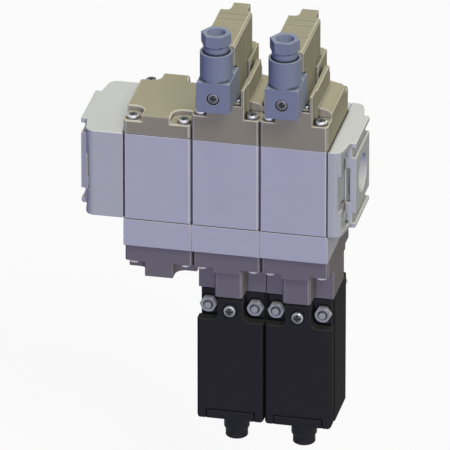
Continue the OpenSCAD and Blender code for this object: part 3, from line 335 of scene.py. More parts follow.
def screw_with_cross(head_d, head_h, shank_d, reach, detail):
    """Pan head screw, seat at z = 0 and shank down.

    The head's top is a shallow dome, z = h - r^2 / 4R, with a rounded rim. Two crossed bars
    are sunk in it: the depth falls off with the distance from the nearer bar.
    """
    around = detail.around
    rim = head_d / 2
    dome = 0.8
    r = rim * np.append(np.linspace(0.06, dome, HEAD_ROWS + 1), [0.87, 0.93, 0.975, 1.0, 1.0])
    drop = head_h * np.append(np.zeros(HEAD_ROWS + 1), [0.03, 0.10, 0.24, 0.5, 1.0])
    z = head_h * (1 - 0.22 * (np.minimum(r, dome * rim) / rim) ** 2) - drop * 0.86
    z[-1] = 0.0
    angle = np.linspace(0, TURN, around, endpoint=False)[None, :]
    x = np.abs(r[:, None] * np.cos(angle))
    y = np.abs(r[:, None] * np.sin(angle))
    bar = detail.recess_width / 2
    off = np.minimum(x, y) / bar
    reach_in = 1 - np.clip(np.maximum(x, y) / (0.62 * rim), 0, 1) ** 4
    sink = detail.recess_depth * np.clip(1.6 - off, 0, 1) * reach_in
    head_z = np.broadcast_to(z[:, None], x.shape) - sink
    head = turned(np.broadcast_to(r[:, None], x.shape), head_z, around)
    shank_r = np.array([0.5, 0.5, 0.5, 0.38]) * shank_d
    shank_z = np.array([0.0, -0.3 * reach, -reach + 0.12 * shank_d, -reach])
    shank = turned(shank_r[:, None], shank_z[:, None], around)
    return solid_of_turns(np.concatenate([head, shank]))


def thread_radius(height, angle, pitch, depth, radius):
    """Radius of a thread: a rounded ridge that climbs one pitch a turn."""
    wave = 0.5 + 0.5 * np.cos(TURN * (height / pitch) - angle)
    return radius - depth * (1 - wave**0.8)


def threaded_end(diameter, bottom, top, pitch, depth, around):
    """Threaded rod from z = bottom to z = top, its upper end rounded over."""
    count = max(8, int((top - bottom) / pitch * THREAD_STEPS))
    over = 0.18 * diameter
    z = np.linspace(bottom, top - over, count)[:, None]
    angle = np.linspace(0, TURN, around, endpoint=False)[None, :]
    fade = np.clip((top - z) / (0.30 * diameter) - 0.3, 0, 1)
    r = thread_radius(z, angle, pitch, depth * fade, diameter / 2)
    body = turned(r, np.broadcast_to(z, r.shape), around)
    t = np.linspace(0.15, 1, 6)[:, None] * math.pi / 2
    end_r = r[-1:, :] * (0.8 + 0.2 * np.cos(t))
    end_z = top - over * (1 - np.sin(t))
    return solid_of_turns(
        np.concatenate([body, turned(end_r, np.broadcast_to(end_z, end_r.shape), around)])
    )


def hex_nut(flats, hole_d, height, pitch, depth, around):
    """Hexagon nut on z from 0 to height: both faces fall away past the inscribed circle,
    z = h - (r - r0) tan 30, and the hole is threaded."""
    angle = np.linspace(0, TURN, around, endpoint=False)[None, :]
    side = hex_radius(flats, angle)
    inner = flats / 2 * 1.02
    mouth = hole_d / 2 + 0.3 * MM
    ring = [np.full_like(side, mouth), np.full_like(side, inner)]
    tall = [np.full_like(side, height), np.full_like(side, height)]
    fall = np.maximum(side - inner, 0) * math.tan(math.radians(30))
    ring += [side - 0.05 * MM, side]
    tall += [height - fall, height - fall - 0.1 * MM]
    r = np.concatenate(ring + ring[::-1])
    z = np.concatenate(tall + [height - t for t in tall[::-1]])
    count = int(height / pitch * THREAD_STEPS)
    hole_z = np.linspace(0.2 * MM, height - 0.2 * MM, count)[:, None]
    hole_r = thread_radius(hole_z, angle, pitch, -depth, hole_d / 2 - depth)
    r = np.concatenate([r, hole_r])
    z = np.concatenate([z, np.broadcast_to(hole_z, hole_r.shape)])
    return ring_of_turns(turned(r, z, around))


def spin_profile(profile, around, closed):
    """Profile of (r, z) pairs turned about the z axis."""
    grid = turned(profile[:, :1], profile[:, 1:], around)
    return ring_of_turns(grid) if closed else solid_of_turns(grid)


def wound_wire(mean_d, wire, low, high, turns):
    """Spring wire about the z axis: angle = 2 pi n t, z = z0 + (z1 - z0) t, a circle of wire in
    radius and height, drawn in at both ends to round them."""
    steps_a_turn, around_wire, taper = 40, 12, (0.4, 0.75, 0.94)
    t = np.linspace(0, 1, turns * steps_a_turn + 1)[:, None]
    angle = TURN * turns * t
    around = np.linspace(0, TURN, around_wire, endpoint=False)[None, :]
    half = np.full_like(t, wire / 2)
    half[:3, 0] *= taper
    half[-3:, 0] *= taper[::-1]
    r = mean_d / 2 + half * np.cos(around)
    z = low + wire / 2 + (high - low - wire) * t + half * np.sin(around)
    return solid_of_turns(np.stack([r * np.cos(angle), r * np.sin(angle), z], axis=-1))


# ---------------------------------------------------------------- finishes
def socket(group, label, way, kind, value=None):
    """A socket of a node group."""
    item = group.interface.new_socket(name=label, in_out=way, socket_type=kind)
    if value is not None:
        item.default_value = value
    return item


def crevice_group():
    """Group that finds narrow gaps and inner corners, how much lies close in front of a point: the
    mask of painted shade.
    """
    group = bpy.data.node_groups.new("Crevice shade finder", "ShaderNodeTree")
    socket(group, "Reach", "INPUT", "NodeSocketFloat", 1.6 * MM)
    socket(group, "Crevice", "OUTPUT", "NodeSocketFloat")
    start, end = group.nodes.new("NodeGroupInput"), group.nodes.new("NodeGroupOutput")
    near = group.nodes.new("ShaderNodeAmbientOcclusion")
    near.samples = 8
    spread = group.nodes.new("ShaderNodeMapRange")
    spread.inputs["From Min"].default_value = 0.93
    spread.inputs["From Max"].default_value = 0.6
    group.links.new(start.outputs["Reach"], near.inputs["Distance"])
    group.links.new(near.outputs["AO"], spread.inputs["Value"])
    group.links.new(spread.outputs["Result"], end.inputs["Crevice"])
    return group


def grain_group():
    """Group of two noises in object space: a fine grain and a broad cloud, each about 0.5."""
    group = bpy.data.node_groups.new("Surface grain", "ShaderNodeTree")
    socket(group, "Grain size", "INPUT", "NodeSocketFloat", 0.6 * MM)
    socket(group, "Cloud size", "INPUT", "NodeSocketFloat", 12 * MM)
    socket(group, "Grain", "OUTPUT", "NodeSocketFloat")
    socket(group, "Cloud", "OUTPUT", "NodeSocketFloat")
    add = group.nodes.new
    link = group.links.new
    start, end = add("NodeGroupInput"), add("NodeGroupOutput")
    where = add("ShaderNodeTexCoord")
    for label, detail in (("Grain", 3.0), ("Cloud", 2.0)):
        invert = add("ShaderNodeMath")
        invert.operation = "DIVIDE"
        invert.inputs[0].default_value = 1.0
        noise = add("ShaderNodeTexNoise")
        noise.inputs["Detail"].default_value = detail
        link(start.outputs[f"{label} size"], invert.inputs[1])
        link(invert.outputs[0], noise.inputs["Scale"])
        link(where.outputs["Object"], noise.inputs["Vector"])
        link(noise.outputs["Fac"], end.inputs[label])
    return group


def mix_colour(tree, factor, first, second):
    """Mix node of two colours, each a socket or a plain colour."""
    node = tree.nodes.new("ShaderNodeMix")
    node.data_type = "RGBA"
    for source, place in ((factor, 0), (first, 6), (second, 7)):
        target = node.inputs[place]
        if isinstance(source, bpy.types.NodeSocket):
            tree.links.new(source, target)
        elif isinstance(source, float):
            target.default_value = source
        else:
            target.default_value = (*source, 1.0)
    return node.outputs[2]


def shade(base, factor):
    """Colour made lighter or darker by a factor, kept in range."""
    return tuple(min(1.0, c * factor) for c in base)


def highlight_and_wear(base, share):
    """Colour moved towards a light cream by a share: a painted highlight on rounded edges, partly
    the wear of their paint.
    """
    cream = (1.0, 0.95, 0.76)
    return tuple(c + (light - c) * share for c, light in zip(base, cream))


def finish(name, base, rough, metal=0.0, gloss=0.5, grain=0.6, bump=0.02, cloud=0.05, dark=0.0):
    """Material with grain and cloud in its colour and roughness, a fine bump and painted shade in
    its crevices.
    """
    material = bpy.data.materials.new(name)
    material.use_nodes = True
    material.diffuse_color = (*base, 1.0)
    tree = material.node_tree
    shader = tree.nodes["Principled BSDF"]
    shader.inputs["Metallic"].default_value = metal
    shader.inputs["Specular IOR Level"].default_value = gloss
    link = tree.links.new
    noise = tree.nodes.new("ShaderNodeGroup")
    noise.node_tree = bpy.data.node_groups["Surface grain"]
    noise.inputs["Grain size"].default_value = grain * MM
    tone = mix_colour(tree, noise.outputs["Cloud"], shade(base, 1 - cloud), shade(base, 1 + cloud))
    speck = tree.nodes.new("ShaderNodeMapRange")
    speck.inputs["From Min"].default_value = 0.3
    speck.inputs["From Max"].default_value = 0.7
    speck.inputs["To Min"].default_value = rough - 0.06
    speck.inputs["To Max"].default_value = rough + 0.06
    link(noise.outputs["Grain"], speck.inputs["Value"])
    link(speck.outputs["Result"], shader.inputs["Roughness"])
    height = tree.nodes.new("ShaderNodeBump")
    height.inputs["Strength"].default_value = 0.5
    height.inputs["Distance"].default_value = bump * MM
    link(noise.outputs["Grain"], height.inputs["Height"])
    if dark > 0:
        # Painted shade: where other surfaces lie close, in gaps, creases and inner corners, the
        # colour darkens towards 0.08 of the base
        near = tree.nodes.new("ShaderNodeGroup")
        near.node_tree = bpy.data.node_groups["Crevice shade finder"]
        weight = tree.nodes.new("ShaderNodeMath")
        weight.operation = "MULTIPLY"
        weight.inputs[1].default_value = dark
        link(near.outputs["Crevice"], weight.inputs[0])
        tone = mix_colour(tree, weight.outputs[0], tone, shade(base, 0.08))
    link(tone, shader.inputs["Base Color"])
    link(height.outputs["Normal"], shader.inputs["Normal"])
    return material


def paint(names, material):
    """Gives CAD nodes or pieces one material in every slot."""
    for name in names:
        obj = NODES[name] if isinstance(name, str) else name
        obj.data.materials.clear()
        obj.data.materials.append(material)


def pair(*names):
    """The names with _a and _b added, for the two like valve modules."""
    return [f"{name}_{side}" for name in names for side in "ab"]


def finished(name):
    """A material made earlier by the finishes operator."""
    return bpy.data.materials[name]


def second_finish(piece, marks, name):
    """Gives the marked faces of a piece a second finish; marks holds one array a shape."""
    piece.data.materials.append(finished(name))
    piece.data.polygons.foreach_set("material_index", np.concatenate(marks).astype(np.int32))


def add_piece(name, shape, material, slot, body, stands_for=()):
    """Makes a piece, gives it its finish and lets it ride on a body; slot is not used."""
    obj = make_object(name, *shape)
    paint([obj], material)
    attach(obj, body)
    if stands_for:
        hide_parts(*stands_for)
    return obj


def round_edges(name, material, body, width, segments=2):
    """Copy of a CAD node with its corners joined and its edges rounded, in the node's stead.

    Flat neighbours are dissolved, so the bevel runs along the real edges only.
    """
    work = bmesh.new()
    work.from_mesh(NODES[name].data)
    bmesh.ops.remove_doubles(work, verts=work.verts, dist=WELD)
    bmesh.ops.dissolve_limit(
        work, angle_limit=math.radians(0.4), verts=work.verts, edges=work.edges
    )
    mesh = bpy.data.meshes.new(f"{name}_round")
    work.to_mesh(mesh)
    work.free()
    mesh.shade_smooth()
    mesh.set_sharp_from_angle(angle=math.radians(EDGE_ANGLE))
    obj = bpy.data.objects.new(f"{name}_round", mesh)
    bpy.context.scene.collection.objects.link(obj)
    bevel = obj.modifiers.new("Edge", "BEVEL")
    bevel.limit_method = "ANGLE"
    bevel.angle_limit = math.radians(EDGE_ANGLE)
    bevel.width = width
    bevel.segments = segments
    bevel.use_clamp_overlap = False
    bevel.harden_normals = True
    # The rounded strips take the family's lighter edge finish: a painted highlight, partly wear of
    # the paint
    bevel.material = 1
    flat = obj.modifiers.new("Flat faces", "WEIGHTED_NORMAL")
    flat.keep_sharp = True
    flat.weight = 100
    paint([obj], material)
    mesh.materials.append(finished(f"{material.name} edge"))
    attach(obj, body)
    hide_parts(name)


# ---------------------------------------------------------------- operators
class VALVEROW_OT_finishes(bpy.types.Operator):
    """Make the shared node groups and every finish"""

    bl_idname = "valverow.finishes"
    bl_label = "Finishes"

    def execute(self, context):
        tone = context.scene.valve_row_colours
        crevice_group()
        grain_group()
        # Name, colour, values of the finish and how far its edges move towards cream, a painted
        # highlight that is partly wear
        families = (
            ("Painted casting", tone.casting, dict(rough=0.7, gloss=0.03, grain=0.5), 0.35),
            ("Painted body", tone.body, dict(rough=0.65, gloss=0.03, grain=0.4, bump=0.015), 0.6),
            ("Moulded cover", tone.cover, dict(rough=0.7, gloss=0.02, grain=0.35), 0.42),
            ("Moulded foot", tone.foot, dict(rough=0.7, gloss=0.03, grain=0.35), 0.14),
            ("Moulded plug", tone.plug, dict(rough=0.55, gloss=0.06, grain=0.3, bump=0.01), 0.12),
            ("Switch housing", tone.switch, dict(rough=0.8, gloss=0.015, grain=0.3), 0.02),
        )
        for name, base, values, pale in families:
            finish(name, base, cloud=0.03, dark=0.95, **values)
            # The edge finish is lighter: a painted highlight on the rounded strips, partly wear of
            # the paint
            finish(f"{name} edge", highlight_and_wear(base, pale), cloud=0.06, dark=0.95, **values)
        finish("Round connector", tone.connector, 0.6, gloss=0.1, grain=0.3, bump=0.01, dark=0.7)
        fine = dict(grain=0.25, bump=0.004)
        finish("Zinc plated steel", tone.steel, 0.4, metal=0.2, grain=0.25, bump=0.006,
               cloud=0.06, dark=0.5)
        # Painted highlight and painted shade: lighter and darker copies of the plated steel, for
        # screw head rims and for their domes, the nut holes and the bolt ends
        finish("Steel painted highlight", shade(tone.steel, 1.75), 0.3, metal=0.6, dark=0.9, **fine)
        finish("Steel painted shade", shade(tone.steel, 0.45), 0.5, metal=0.3, dark=0.95, **fine)
        finish("Turned brass", tone.brass, 0.3, metal=1.0, grain=0.25, bump=0.005, cloud=0.05)
        finish("Spring steel", shade(tone.steel, 0.8), 0.3, metal=1.0, grain=0.2, bump=0.004)
        finish("Seal rubber", tone.rubber, 0.75, grain=0.3, bump=0.02, cloud=0.08)
        finish("Button plastic", tone.button, 0.45, grain=0.3, bump=0.01, cloud=0.04)
        return {"FINISHED"}


class VALVEROW_OT_castings(bpy.types.Operator):
    """Round the edges of the end blocks and the bodies and paint them"""

    bl_idname = "valverow.castings"
    bl_label = "Castings"

    def execute(self, context):
        width = context.scene.valve_row_detail.edge_round
        for name in ("outlet_end_block", "inlet_end_block"):
            round_edges(name, finished("Painted casting"), "row", width)
        for name in ("soft_start_body", *pair("valve_body")):
            round_edges(name, finished("Painted body"), "row", width * 0.7)
        return {"FINISHED"}


class VALVEROW_OT_mouldings(bpy.types.Operator):
    """Round the edges of the covers, pilot valves, brackets and plugs and colour them"""

    bl_idname = "valverow.mouldings"
    bl_label = "Mouldings"

    # Nodes, finish, slot, edge width as a share of the setting, steps across the edge
    groups = (
        (["soft_start_top_cover"], "Moulded cover", "top_cover", 2, 3),
        (["soft_start_bottom_cover"], "Moulded foot", "bottom_cover", 1, 2),
        (pair("pilot_base"), "Moulded cover", "top_cover", 1, 2),
        (pair("coil_housing", "pilot_block"), "Moulded cover", "pilot", 0.6, 2),
        (pair("bottom_cover"), "Moulded foot", "bottom_cover", 1, 2),
        (pair("switch_bracket"), "Moulded foot", "bracket", 1, 2),
        (pair("cable_plug"), "Moulded plug", "plug", 0.4, 2),
    )

    def execute(self, context):
        width = context.scene.valve_row_detail.edge_round
        for names, look, slot, share, segments in self.groups:
            for name in names:
                round_edges(name, finished(look), "row", width * share, segments)
        return {"FINISHED"}


class VALVEROW_OT_switches(bpy.types.Operator):
    """Round the edges of the limit switches and turn their round connectors"""

    bl_idname = "valverow.switches"
    bl_label = "Limit switches"

    def execute(self, context):
        detail = context.scene.valve_row_detail
        for name in pair("switch_housing", "switch_front"):
            round_edges(name, finished("Switch housing"), "row", detail.edge_round)
        for name in pair("switch_connector"):
            low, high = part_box(name)
            self.connector(name, np.asarray(low), np.asarray(high), detail)
        return {"FINISHED"}

    def connector(self, name, low, high, detail):
        """Turned plug end: a collar, a threaded sleeve with a bevelled mouth and an open face."""
        middle = (low + high) / 2
        base = low[2]
        top = high[2] - base
        collar = (high[0] - low[0]) / 2
        sleeve = collar - 0.7 * MM
        mouth, neck, inside, floor = sleeve - 1.1 * MM, collar - 1 * MM, 2.9 * MM, 7.6 * MM
        points = [
            (inside, floor), (mouth, floor), (mouth, 0.3 * MM), (sleeve - 0.6 * MM, 0.0),
            (sleeve, 0.5 * MM), (sleeve, 4.4 * MM), (collar, 5.0 * MM), (collar, 13.75 * MM),
            (neck, 13.8 * MM), (neck, top), (inside, top),
        ]
        profile = resample(rounded_profile(points, [0.2 * MM] * 9, 2), 0.35 * MM)
        verts, faces = spin_profile(profile, detail.around, closed=True)
        radius = np.hypot(verts[:, 0], verts[:, 1])
        angle = np.arctan2(verts[:, 1], verts[:, 0])
        outer = (radius > sleeve - 0.05 * MM) & (verts[:, 2] > 0.8 * MM) & (verts[:, 2] < 4.2 * MM)
        ridge = thread_radius(verts[:, 2], angle, 1.0 * MM, 0.35 * MM, radius) - radius
        verts[:, :2] *= (1 + np.where(outer, ridge / radius, 0))[:, None]
        line = np.array([(3.0 * MM, 7.0 * MM), (3.0 * MM, top)])
        core = spin_profile(resample(line, MM), 48, closed=False)
        line = MM * np.array([(0.1, 1.2), (0.5, 1.5), (0.5, 8.0), (0.1, 8.0)])
        pin = spin_profile(rounded_profile(line, [0.1 * MM, 0]), 16, closed=False)
        foot = (middle[0], middle[1], base)
        body = NODES[name]["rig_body"]
        shell = placed((verts, faces), [(foot, RIGHT, UP)])
        add_piece(f"{name}_turned", shell, finished("Round connector"), "connector", body, [name])
        inner = placed(core, [(foot, RIGHT, UP)])
        add_piece(f"{name}_core", inner, finished("Seal rubber"), "rubber", body)
        out = 2.1 * MM
        spots = [
            ((foot[0] + out * math.cos(way), foot[1] + out * math.sin(way), base), RIGHT, UP)
            for way in np.radians([45, 135, 225, 315])
        ]
        add_piece(f"{name}_pins", placed(pin, spots), finished("Turned brass"), "brass", body)


class VALVEROW_OT_screws(bpy.types.Operator):
    """Put a finer screw in place of each pan head screw"""

    bl_idname = "valverow.screws"
    bl_label = "Pan head screws"
    # Node, the way its heads point, height of a head and diameter of a shank in mm
    groups = (
        ("cover_screws", UP, 1.9, 3.0),
        ("base_screws", DOWN, 1.9, 3.0),
        ("pilot_screws", UP, 1.5, 2.0),
        ("plug_screws", FORWARD, 1.9, 2.5),
        ("switch_front_screws", FORWARD, 3.2, 2.5),
    )

    def execute(self, context):
        detail = context.scene.valve_row_detail
        for node, out, head_h, shank_d in self.groups:
            self.group(node, out, head_h * MM, shank_d * MM, detail)
        return {"FINISHED"}

    def group(self, node, out, head_h, shank_d, detail):
        """All screws of one node; out is the way their heads point."""
        out = np.asarray(out, float)
        axis = int(np.argmax(np.abs(out)))
        parts = []
        for low, high in solids_of(node):
            tip = low if out[axis] < 0 else high
            seat = (low + high) / 2
            seat[axis] = tip[axis] - out[axis] * head_h
            head_d = float((high - low)[(axis + 1) % 3])
            reach = float((high - low)[axis]) - head_h
            shape = screw_with_cross(head_d, head_h, shank_d, reach, detail)
            parts.append(placed(shape, [(seat, RIGHT, out)]))
        rim = finished("Steel painted highlight")
        piece = add_piece(f"{node}_turned", join(parts), rim, "screw", "row", [node])
        # Faces of one screw in order: rows from the middle of the head outwards, then the fan in
        # the middle of the head, then the fan at the shank's end
        # The dome and middle fan of each head get the painted-shade steel; the rim and the shank
        # keep the painted-highlight steel
        place = np.arange(face_count(parts[0]))
        fan = len(place) - 2 * detail.around
        face = place < HEAD_ROWS * detail.around
        face |= (place >= fan) & (place < fan + detail.around)
        second_finish(piece, [face] * len(parts), "Steel painted shade")


class VALVEROW_OT_bolts(bpy.types.Operator):
    """Turn the switch bolts with their threads, and the hexagon nuts in front"""

    bl_idname = "valverow.bolts"
    bl_label = "Bolts and nuts"
    bolt_d, hole_d, head_h = 4.0 * MM, 4.1 * MM, 2.8 * MM
    rod_around = 48
    # The rows at the rod's end get the darker steel as painted shade
    end_rows = 8  # rows of faces over the rod's end that look dark

    def execute(self, context):
        detail = context.scene.valve_row_detail
        pitch, depth = detail.thread_pitch, detail.thread_depth
        nuts, bolts, marks = [], [], []
        for low, high in solids_of("switch_nuts"):
            flats = float(high[2] - low[2])
            height = float(high[1] - low[1])
            seat = ((low[0] + high[0]) / 2, high[1], (low[2] + high[2]) / 2)
            shape = hex_nut(flats, self.hole_d, height, pitch, depth, detail.around)
            nuts.append(placed(shape, [(seat, RIGHT, FORWARD)]))
        steel = finished("Zinc plated steel")
        kept = ("fastener", "row")
        piece = add_piece("switch_nuts_turned", join(nuts), steel, *kept, ["switch_nuts"])
        # The threaded hole of each nut gets the darker steel as painted shade
        hole = np.arange(face_count(nuts[0])) >= NUT_ROWS * detail.around
        second_finish(piece, [hole] * len(nuts), "Steel painted shade")
        for low, high in solids_of("switch_bolts"):
            middle = (low + high) / 2
            spot = ((middle[0], high[1], middle[2]), RIGHT, FORWARD)
            span = float(high[1] - low[1])
            flats = float(high[2] - low[2])
            start = self.head_h - 0.4 * MM
            rod = threaded_end(self.bolt_d, start, span, pitch, depth, self.rod_around)
            bolts.append(placed(rod, [spot]))
            place = np.arange(face_count(rod))
            fans = len(place) - 2 * self.rod_around
            marks.append((place >= fans - self.end_rows * self.rod_around) & (place < fans))
            bolts.append(placed(self.head(flats, self.head_h, detail.around), [spot]))
            marks.append(np.zeros(face_count(bolts[-1]), bool))
        piece = add_piece("switch_bolts_turned", join(bolts), steel, *kept, ["switch_bolts"])
        second_finish(piece, marks, "Steel painted shade")
        return {"FINISHED"}

    def head(self, flats, height, around):
        """Bolt head on z from 0, its free end at 0: a hexagon that falls away at its corners."""
        angle = np.linspace(0, TURN, around, endpoint=False)[None, :]
        side = hex_radius(flats, angle)
        inner = flats / 2 * 0.93
        fall = np.maximum(side - inner, 0) * math.tan(math.radians(30))
        one = np.ones_like(side)
        r = np.concatenate([0.3 * inner * one, inner * one, side, side, 0.3 * inner * one])
        z = np.concatenate([0 * one, 0 * one, fall, height * one, height * one])
        return solid_of_turns(turned(r, z, around))


class VALVEROW_OT_glands(bpy.types.Operator):
    """Turn the gland nuts: a neck, a hexagon that falls away below its corners, a mouth"""

    bl_idname = "valverow.glands"
    bl_label = "Gland nuts"
    # Width across flats and height of the hexagon; radii of its round underside, neck and hole
    flats, hex_h, crown, neck, hole = 12.2 * MM, 6.0 * MM, 6.1 * MM, 5.85 * MM, 4.15 * MM

    def execute(self, context):
        detail = context.scene.valve_row_detail
        for name in pair("gland_nut"):
            low, high = (np.asarray(c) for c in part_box(name))
            middle = (low + high) / 2
            shape = self.nut(float(high[2] - low[2]), detail)
            shape = placed(shape, [((middle[0], middle[1], low[2]), RIGHT, UP)])
            body = NODES[name]["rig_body"]
            add_piece(f"{name}_turned", shape, finished("Moulded plug"), "plug", body, [name])
        return {"FINISHED"}

    def nut(self, tall, detail):
        """Outer wall: round up to the hexagon, whose sides then follow the hexagon's radius."""
        around = detail.around * 2
        angle = np.linspace(0, TURN, around, endpoint=False)[None, :]
        side = hex_radius(self.flats, angle - detail.gland_turn)
        under = tall - self.hex_h
        fall = np.maximum(side - self.crown, 0)
        edge, bevel, mouth = 0.12 * MM, 0.15 * MM, 0.4 * MM
        rings = [
            (self.hole, 0.0), (self.neck, 0.0), (self.neck, under - 0.02 * MM),
            (np.minimum(side, self.crown), under + 0.02 * MM), (side - bevel, under + fall),
            (side, under + fall + bevel), (side, tall - edge), (side - edge, tall),
            (self.hole + mouth, tall), (self.hole + edge, tall - edge),
            (self.hole, tall - 0.5 * MM),
        ]
        one = np.ones_like(side)
        r = np.concatenate([radius * one for radius, _ in rings])
        z = np.concatenate([height * one for _, height in rings])
        return ring_of_turns(turned(r, z, around))


class VALVEROW_OT_ports(bpy.types.Operator):
    """Cut the look of a thread into the two exhaust ports at the back"""

    bl_idname = "valverow.ports"
    bl_label = "Port threads"
    deep, thread_depth = 9.0 * MM, 0.75 * MM
    steps = 10  # rings on a pitch

    def execute(self, context):
        detail = context.scene.valve_row_detail
        ports = [m for m in frame["record"]["mounts"] if m["name"].startswith("exhaust_port")]
        if not ports:
            raise RuntimeError("the record names no exhaust port")
        for mount in ports:
            spot = np.asarray(mount["pos_m"], float)
            spot[1] -= 0.3 * MM
            shape = self.liner(mount["dims"]["r_mm"] * MM, detail)
            piece = placed(shape, [(spot, RIGHT, FORWARD)])
            add_piece(f"{mount['name']}_thread", piece, finished("Painted body"), "body", "row")
        return {"FINISHED"}

    def liner(self, radius, detail):
        """Thin sleeve whose inner wall carries the thread."""
        pitch = detail.port_pitch
        z = np.linspace(0, self.deep, int(self.deep / pitch * self.steps))[:, None]
        angle = np.linspace(0, TURN, detail.around, endpoint=False)[None, :]
        wall = thread_radius(z, angle, pitch, self.thread_depth, radius - 0.05 * MM)
        outer = np.full((2, detail.around), radius - 0.02 * MM)
        ends = np.array([[self.deep], [0.0]]) + 0 * outer
        r = np.concatenate([wall, outer])
        z = np.concatenate([np.broadcast_to(z, wall.shape), ends])
        return ring_of_turns(turned(r, z, detail.around))


class VALVEROW_OT_inner_parts(bpy.types.Operator):
    """Give the spools, pistons, springs, seals and buttons their finishes"""

    bl_idname = "valverow.inner_parts"
    bl_label = "Inner parts"

    def execute(self, context):
        paint(["tie_screws", "bracket_screws"], finished("Zinc plated steel"))
        paint(pair("main_spool", "switch_plunger", "armature"), finished("Zinc plated steel"))
        paint(["soft_start_piston"], finished("Turned brass"))
        paint(pair("pilot_piston"), finished("Switch housing"))
        springs = pair("return_spring", "armature_spring", "plunger_spring")
        paint(["soft_start_spring", *springs], finished("Spring steel"))
        paint(["port_seals", "plug_gaskets", *pair("gland_seal")], finished("Seal rubber"))
        paint(pair("manual_override"), finished("Button plastic"))
        return {"FINISHED"}


class VALVEROW_OT_springs(bpy.types.Operator):
    """Wind every spring that a joint loads"""

    bl_idname = "valverow.springs"
    bl_label = "Springs"
    # Wire in mm and number of turns
    wires = {
        "soft_start": (1.2, 5), "return": (1.4, 4), "armature": (0.5, 5), "plunger": (0.8, 6),
    }

    def execute(self, context):
        for joint in frame["record"]["behaviour"]["joints"]:
            for entry in joint.get("deforming_nodes", ()):
                node = entry["node"]
                wire, turns = self.wires[node.split("_spring")[0]]
                low, high = (np.asarray(corner, float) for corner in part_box(node))
                middle = (low + high) / 2
                mean_d = float(high[0] - low[0]) - wire * MM
                half = float(high[2] - low[2]) / 2
                shape = wound_wire(mean_d, wire * MM, -half, half, turns)
                shape = placed(shape, [(middle, RIGHT, UP)])
                steel = finished("Spring steel")
                piece = add_piece(f"{node}_wound", shape, steel, "spring", "row", [node])
                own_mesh(piece)
        return {"FINISHED"}


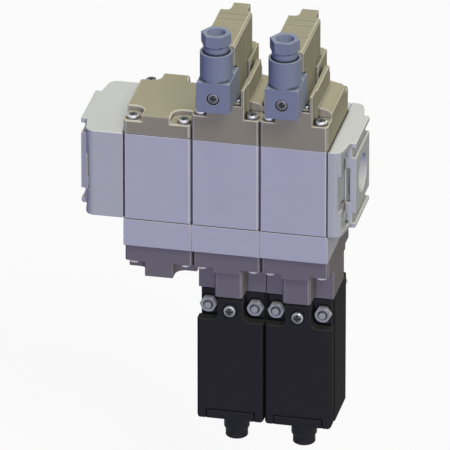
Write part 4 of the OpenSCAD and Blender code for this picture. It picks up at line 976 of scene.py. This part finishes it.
class VALVEROW_OT_studio(bpy.types.Operator):
    """Set the camera, the lamps, the pale floor and the backdrop"""

    bl_idname = "valverow.studio"
    bl_label = "Studio"

    def execute(self, context):
        scene = context.scene
        studio = scene.valve_row_studio
        self.camera(scene, studio)
        white = (1.0, 1.0, 1.0)
        # The key shines from the right in front; only a quarter of it casts shadows
        key, power, tint, hard = (0.4, -0.6, 0.69), studio.key_light, studio.key_tint, 0.25
        self.lamp("Key lamp", key, power * hard, tint, 20)
        self.lamp("Key fill lamp", key, power * (1 - hard), tint, 20, False)
        self.lamp("Lamp in front", FORWARD, studio.front_light, studio.front_tint, 40, False)
        self.lamp("Lamp above", UP, studio.top_light, white, 30)
        self.lamp("Rim lamp", (0.3, 0.93, 0.2), studio.rim_light, white, 20)
        self.world(scene, studio)
        self.floor(studio)
        scene.view_settings.view_transform = "Standard"
        return {"FINISHED"}

    def camera(self, scene, studio):
        """Long lens at the picture's angle, aimed at the middle of the row."""
        data = bpy.data.cameras.new("Camera")
        data.lens = studio.lens
        data.sensor_width = 36.0
        data.clip_start, data.clip_end = 0.1, 40.0
        obj = bpy.data.objects.new("Camera", data)
        flat = math.cos(studio.elevation)
        back = Vector((math.sin(studio.azimuth) * flat, -math.cos(studio.azimuth) * flat,
                       math.sin(studio.elevation)))
        obj.location = Vector(studio.aim) + back * studio.distance
        obj.rotation_euler = back.to_track_quat("Z", "Y").to_euler()
        scene.collection.objects.link(obj)
        scene.camera = obj

    def lamp(self, name, way, strength, tint, spread, shadow=True):
        """Sun lamp that shines from a direction, with a spread in degrees."""
        data = bpy.data.lights.new(name, "SUN")
        data.energy = strength
        data.color = tint
        data.angle = math.radians(spread)
        data.use_shadow = shadow
        obj = bpy.data.objects.new(name, data)
        obj.rotation_euler = Vector(way).to_track_quat("Z", "Y").to_euler()
        bpy.context.scene.collection.objects.link(obj)

    def world(self, scene, studio):
        """White where the camera or a mirror looks, dim where it lights the row."""
        world = bpy.data.worlds.new("Studio")
        world.use_nodes = True
        tree = world.node_tree
        back = tree.nodes["Background"]
        back.inputs["Color"].default_value = (1, 1, 1, 1)
        path = tree.nodes.new("ShaderNodeLightPath")
        seen = tree.nodes.new("ShaderNodeMath")
        seen.operation = "MAXIMUM"
        both = tree.nodes.new("ShaderNodeMath")
        both.operation = "MAXIMUM"
        level = tree.nodes.new("ShaderNodeMapRange")
        level.inputs["To Min"].default_value = studio.sky
        link = tree.links.new
        link(path.outputs["Is Camera Ray"], seen.inputs[0])
        link(path.outputs["Is Glossy Ray"], seen.inputs[1])
        link(seen.outputs[0], both.inputs[0])
        link(path.outputs["Is Transmission Ray"], both.inputs[1])
        link(both.outputs[0], level.inputs["Value"])
        link(level.outputs["Result"], back.inputs["Strength"])
        scene.world = world

    def floor(self, studio):
        """Wide pale disc under the row; it keeps a soft shadow."""
        low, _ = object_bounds()
        z = low[2] - studio.floor_drop
        rings, around = 24, 64
        radius = np.linspace(0.05, 6.0, rings)[:, None]
        grid = turned(radius, np.full_like(radius, z), around)
        verts = np.concatenate([grid.reshape(-1, 3), [[0, 0, z]]])
        quads = tube_faces(rings, around)[:, ::-1]
        j = np.arange(around)
        fan = np.stack([np.full(around, rings * around), j, (j + 1) % around], axis=-1)
        mesh = bpy.data.meshes.new("Floor")
        mesh.from_pydata(verts.tolist(), [], quads.tolist() + fan.tolist())
        obj = bpy.data.objects.new("Floor", mesh)
        bpy.context.scene.collection.objects.link(obj)
        material = bpy.data.materials.new("Pale floor")
        material.use_nodes = True
        tree = material.node_tree
        shader = tree.nodes["Principled BSDF"]
        shader.inputs["Roughness"].default_value = 0.9
        glow = tree.nodes.new("ShaderNodeEmission")
        mix = tree.nodes.new("ShaderNodeMixShader")
        path = tree.nodes.new("ShaderNodeLightPath")
        part = tree.nodes.new("ShaderNodeMath")
        part.operation = "MULTIPLY_ADD"
        part.inputs[1].default_value = 0.75
        link = tree.links.new
        pale, dim = (0.9, 0.9, 0.9), (0.06, 0.06, 0.06)
        tone = mix_colour(tree, path.outputs["Is Diffuse Ray"], pale, dim)
        link(tone, shader.inputs["Base Color"])
        link(path.outputs["Is Camera Ray"], part.inputs[0])
        link(path.outputs["Is Glossy Ray"], part.inputs[2])
        link(part.outputs[0], mix.inputs[0])
        link(shader.outputs[0], mix.inputs[1])
        link(glow.outputs[0], mix.inputs[2])
        link(mix.outputs[0], tree.nodes["Material Output"].inputs["Surface"])
        mesh.materials.append(material)
        obj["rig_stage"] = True


class VALVEROW_PT_panel(bpy.types.Panel):
    """Lists the steps that dress the row"""

    bl_idname = "VALVEROW_PT_panel"
    bl_label = "Valve row"
    bl_space_type = "VIEW_3D"
    bl_region_type = "UI"
    bl_category = "Valve row"

    def draw(self, context):
        for step in STEPS:
            self.layout.operator(step.bl_idname)


STEPS = (
    VALVEROW_OT_studio,
    VALVEROW_OT_finishes,
    VALVEROW_OT_castings,
    VALVEROW_OT_mouldings,
    VALVEROW_OT_switches,
    VALVEROW_OT_screws,
    VALVEROW_OT_bolts,
    VALVEROW_OT_glands,
    VALVEROW_OT_ports,
    VALVEROW_OT_inner_parts,
    VALVEROW_OT_springs,
)
GROUPS = {
    "valve_row_colours": ValveRowColours,
    "valve_row_detail": ValveRowDetail,
    "valve_row_studio": ValveRowStudio,
}


def register():
    for group in GROUPS.values():
        bpy.utils.register_class(group)
    for name, group in GROUPS.items():
        setattr(bpy.types.Scene, name, PointerProperty(type=group))
    for cls in (*STEPS, VALVEROW_PT_panel):
        bpy.utils.register_class(cls)


def unregister():
    for cls in (*STEPS, VALVEROW_PT_panel):
        bpy.utils.unregister_class(cls)
    for name, group in GROUPS.items():
        delattr(bpy.types.Scene, name)
        bpy.utils.unregister_class(group)


def main():
    """Registers the add-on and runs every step."""
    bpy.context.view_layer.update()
    register()
    for step in STEPS:
        group, action = step.bl_idname.split(".")
        getattr(getattr(bpy.ops, group), action)()


if __name__ == "__main__":
    main()
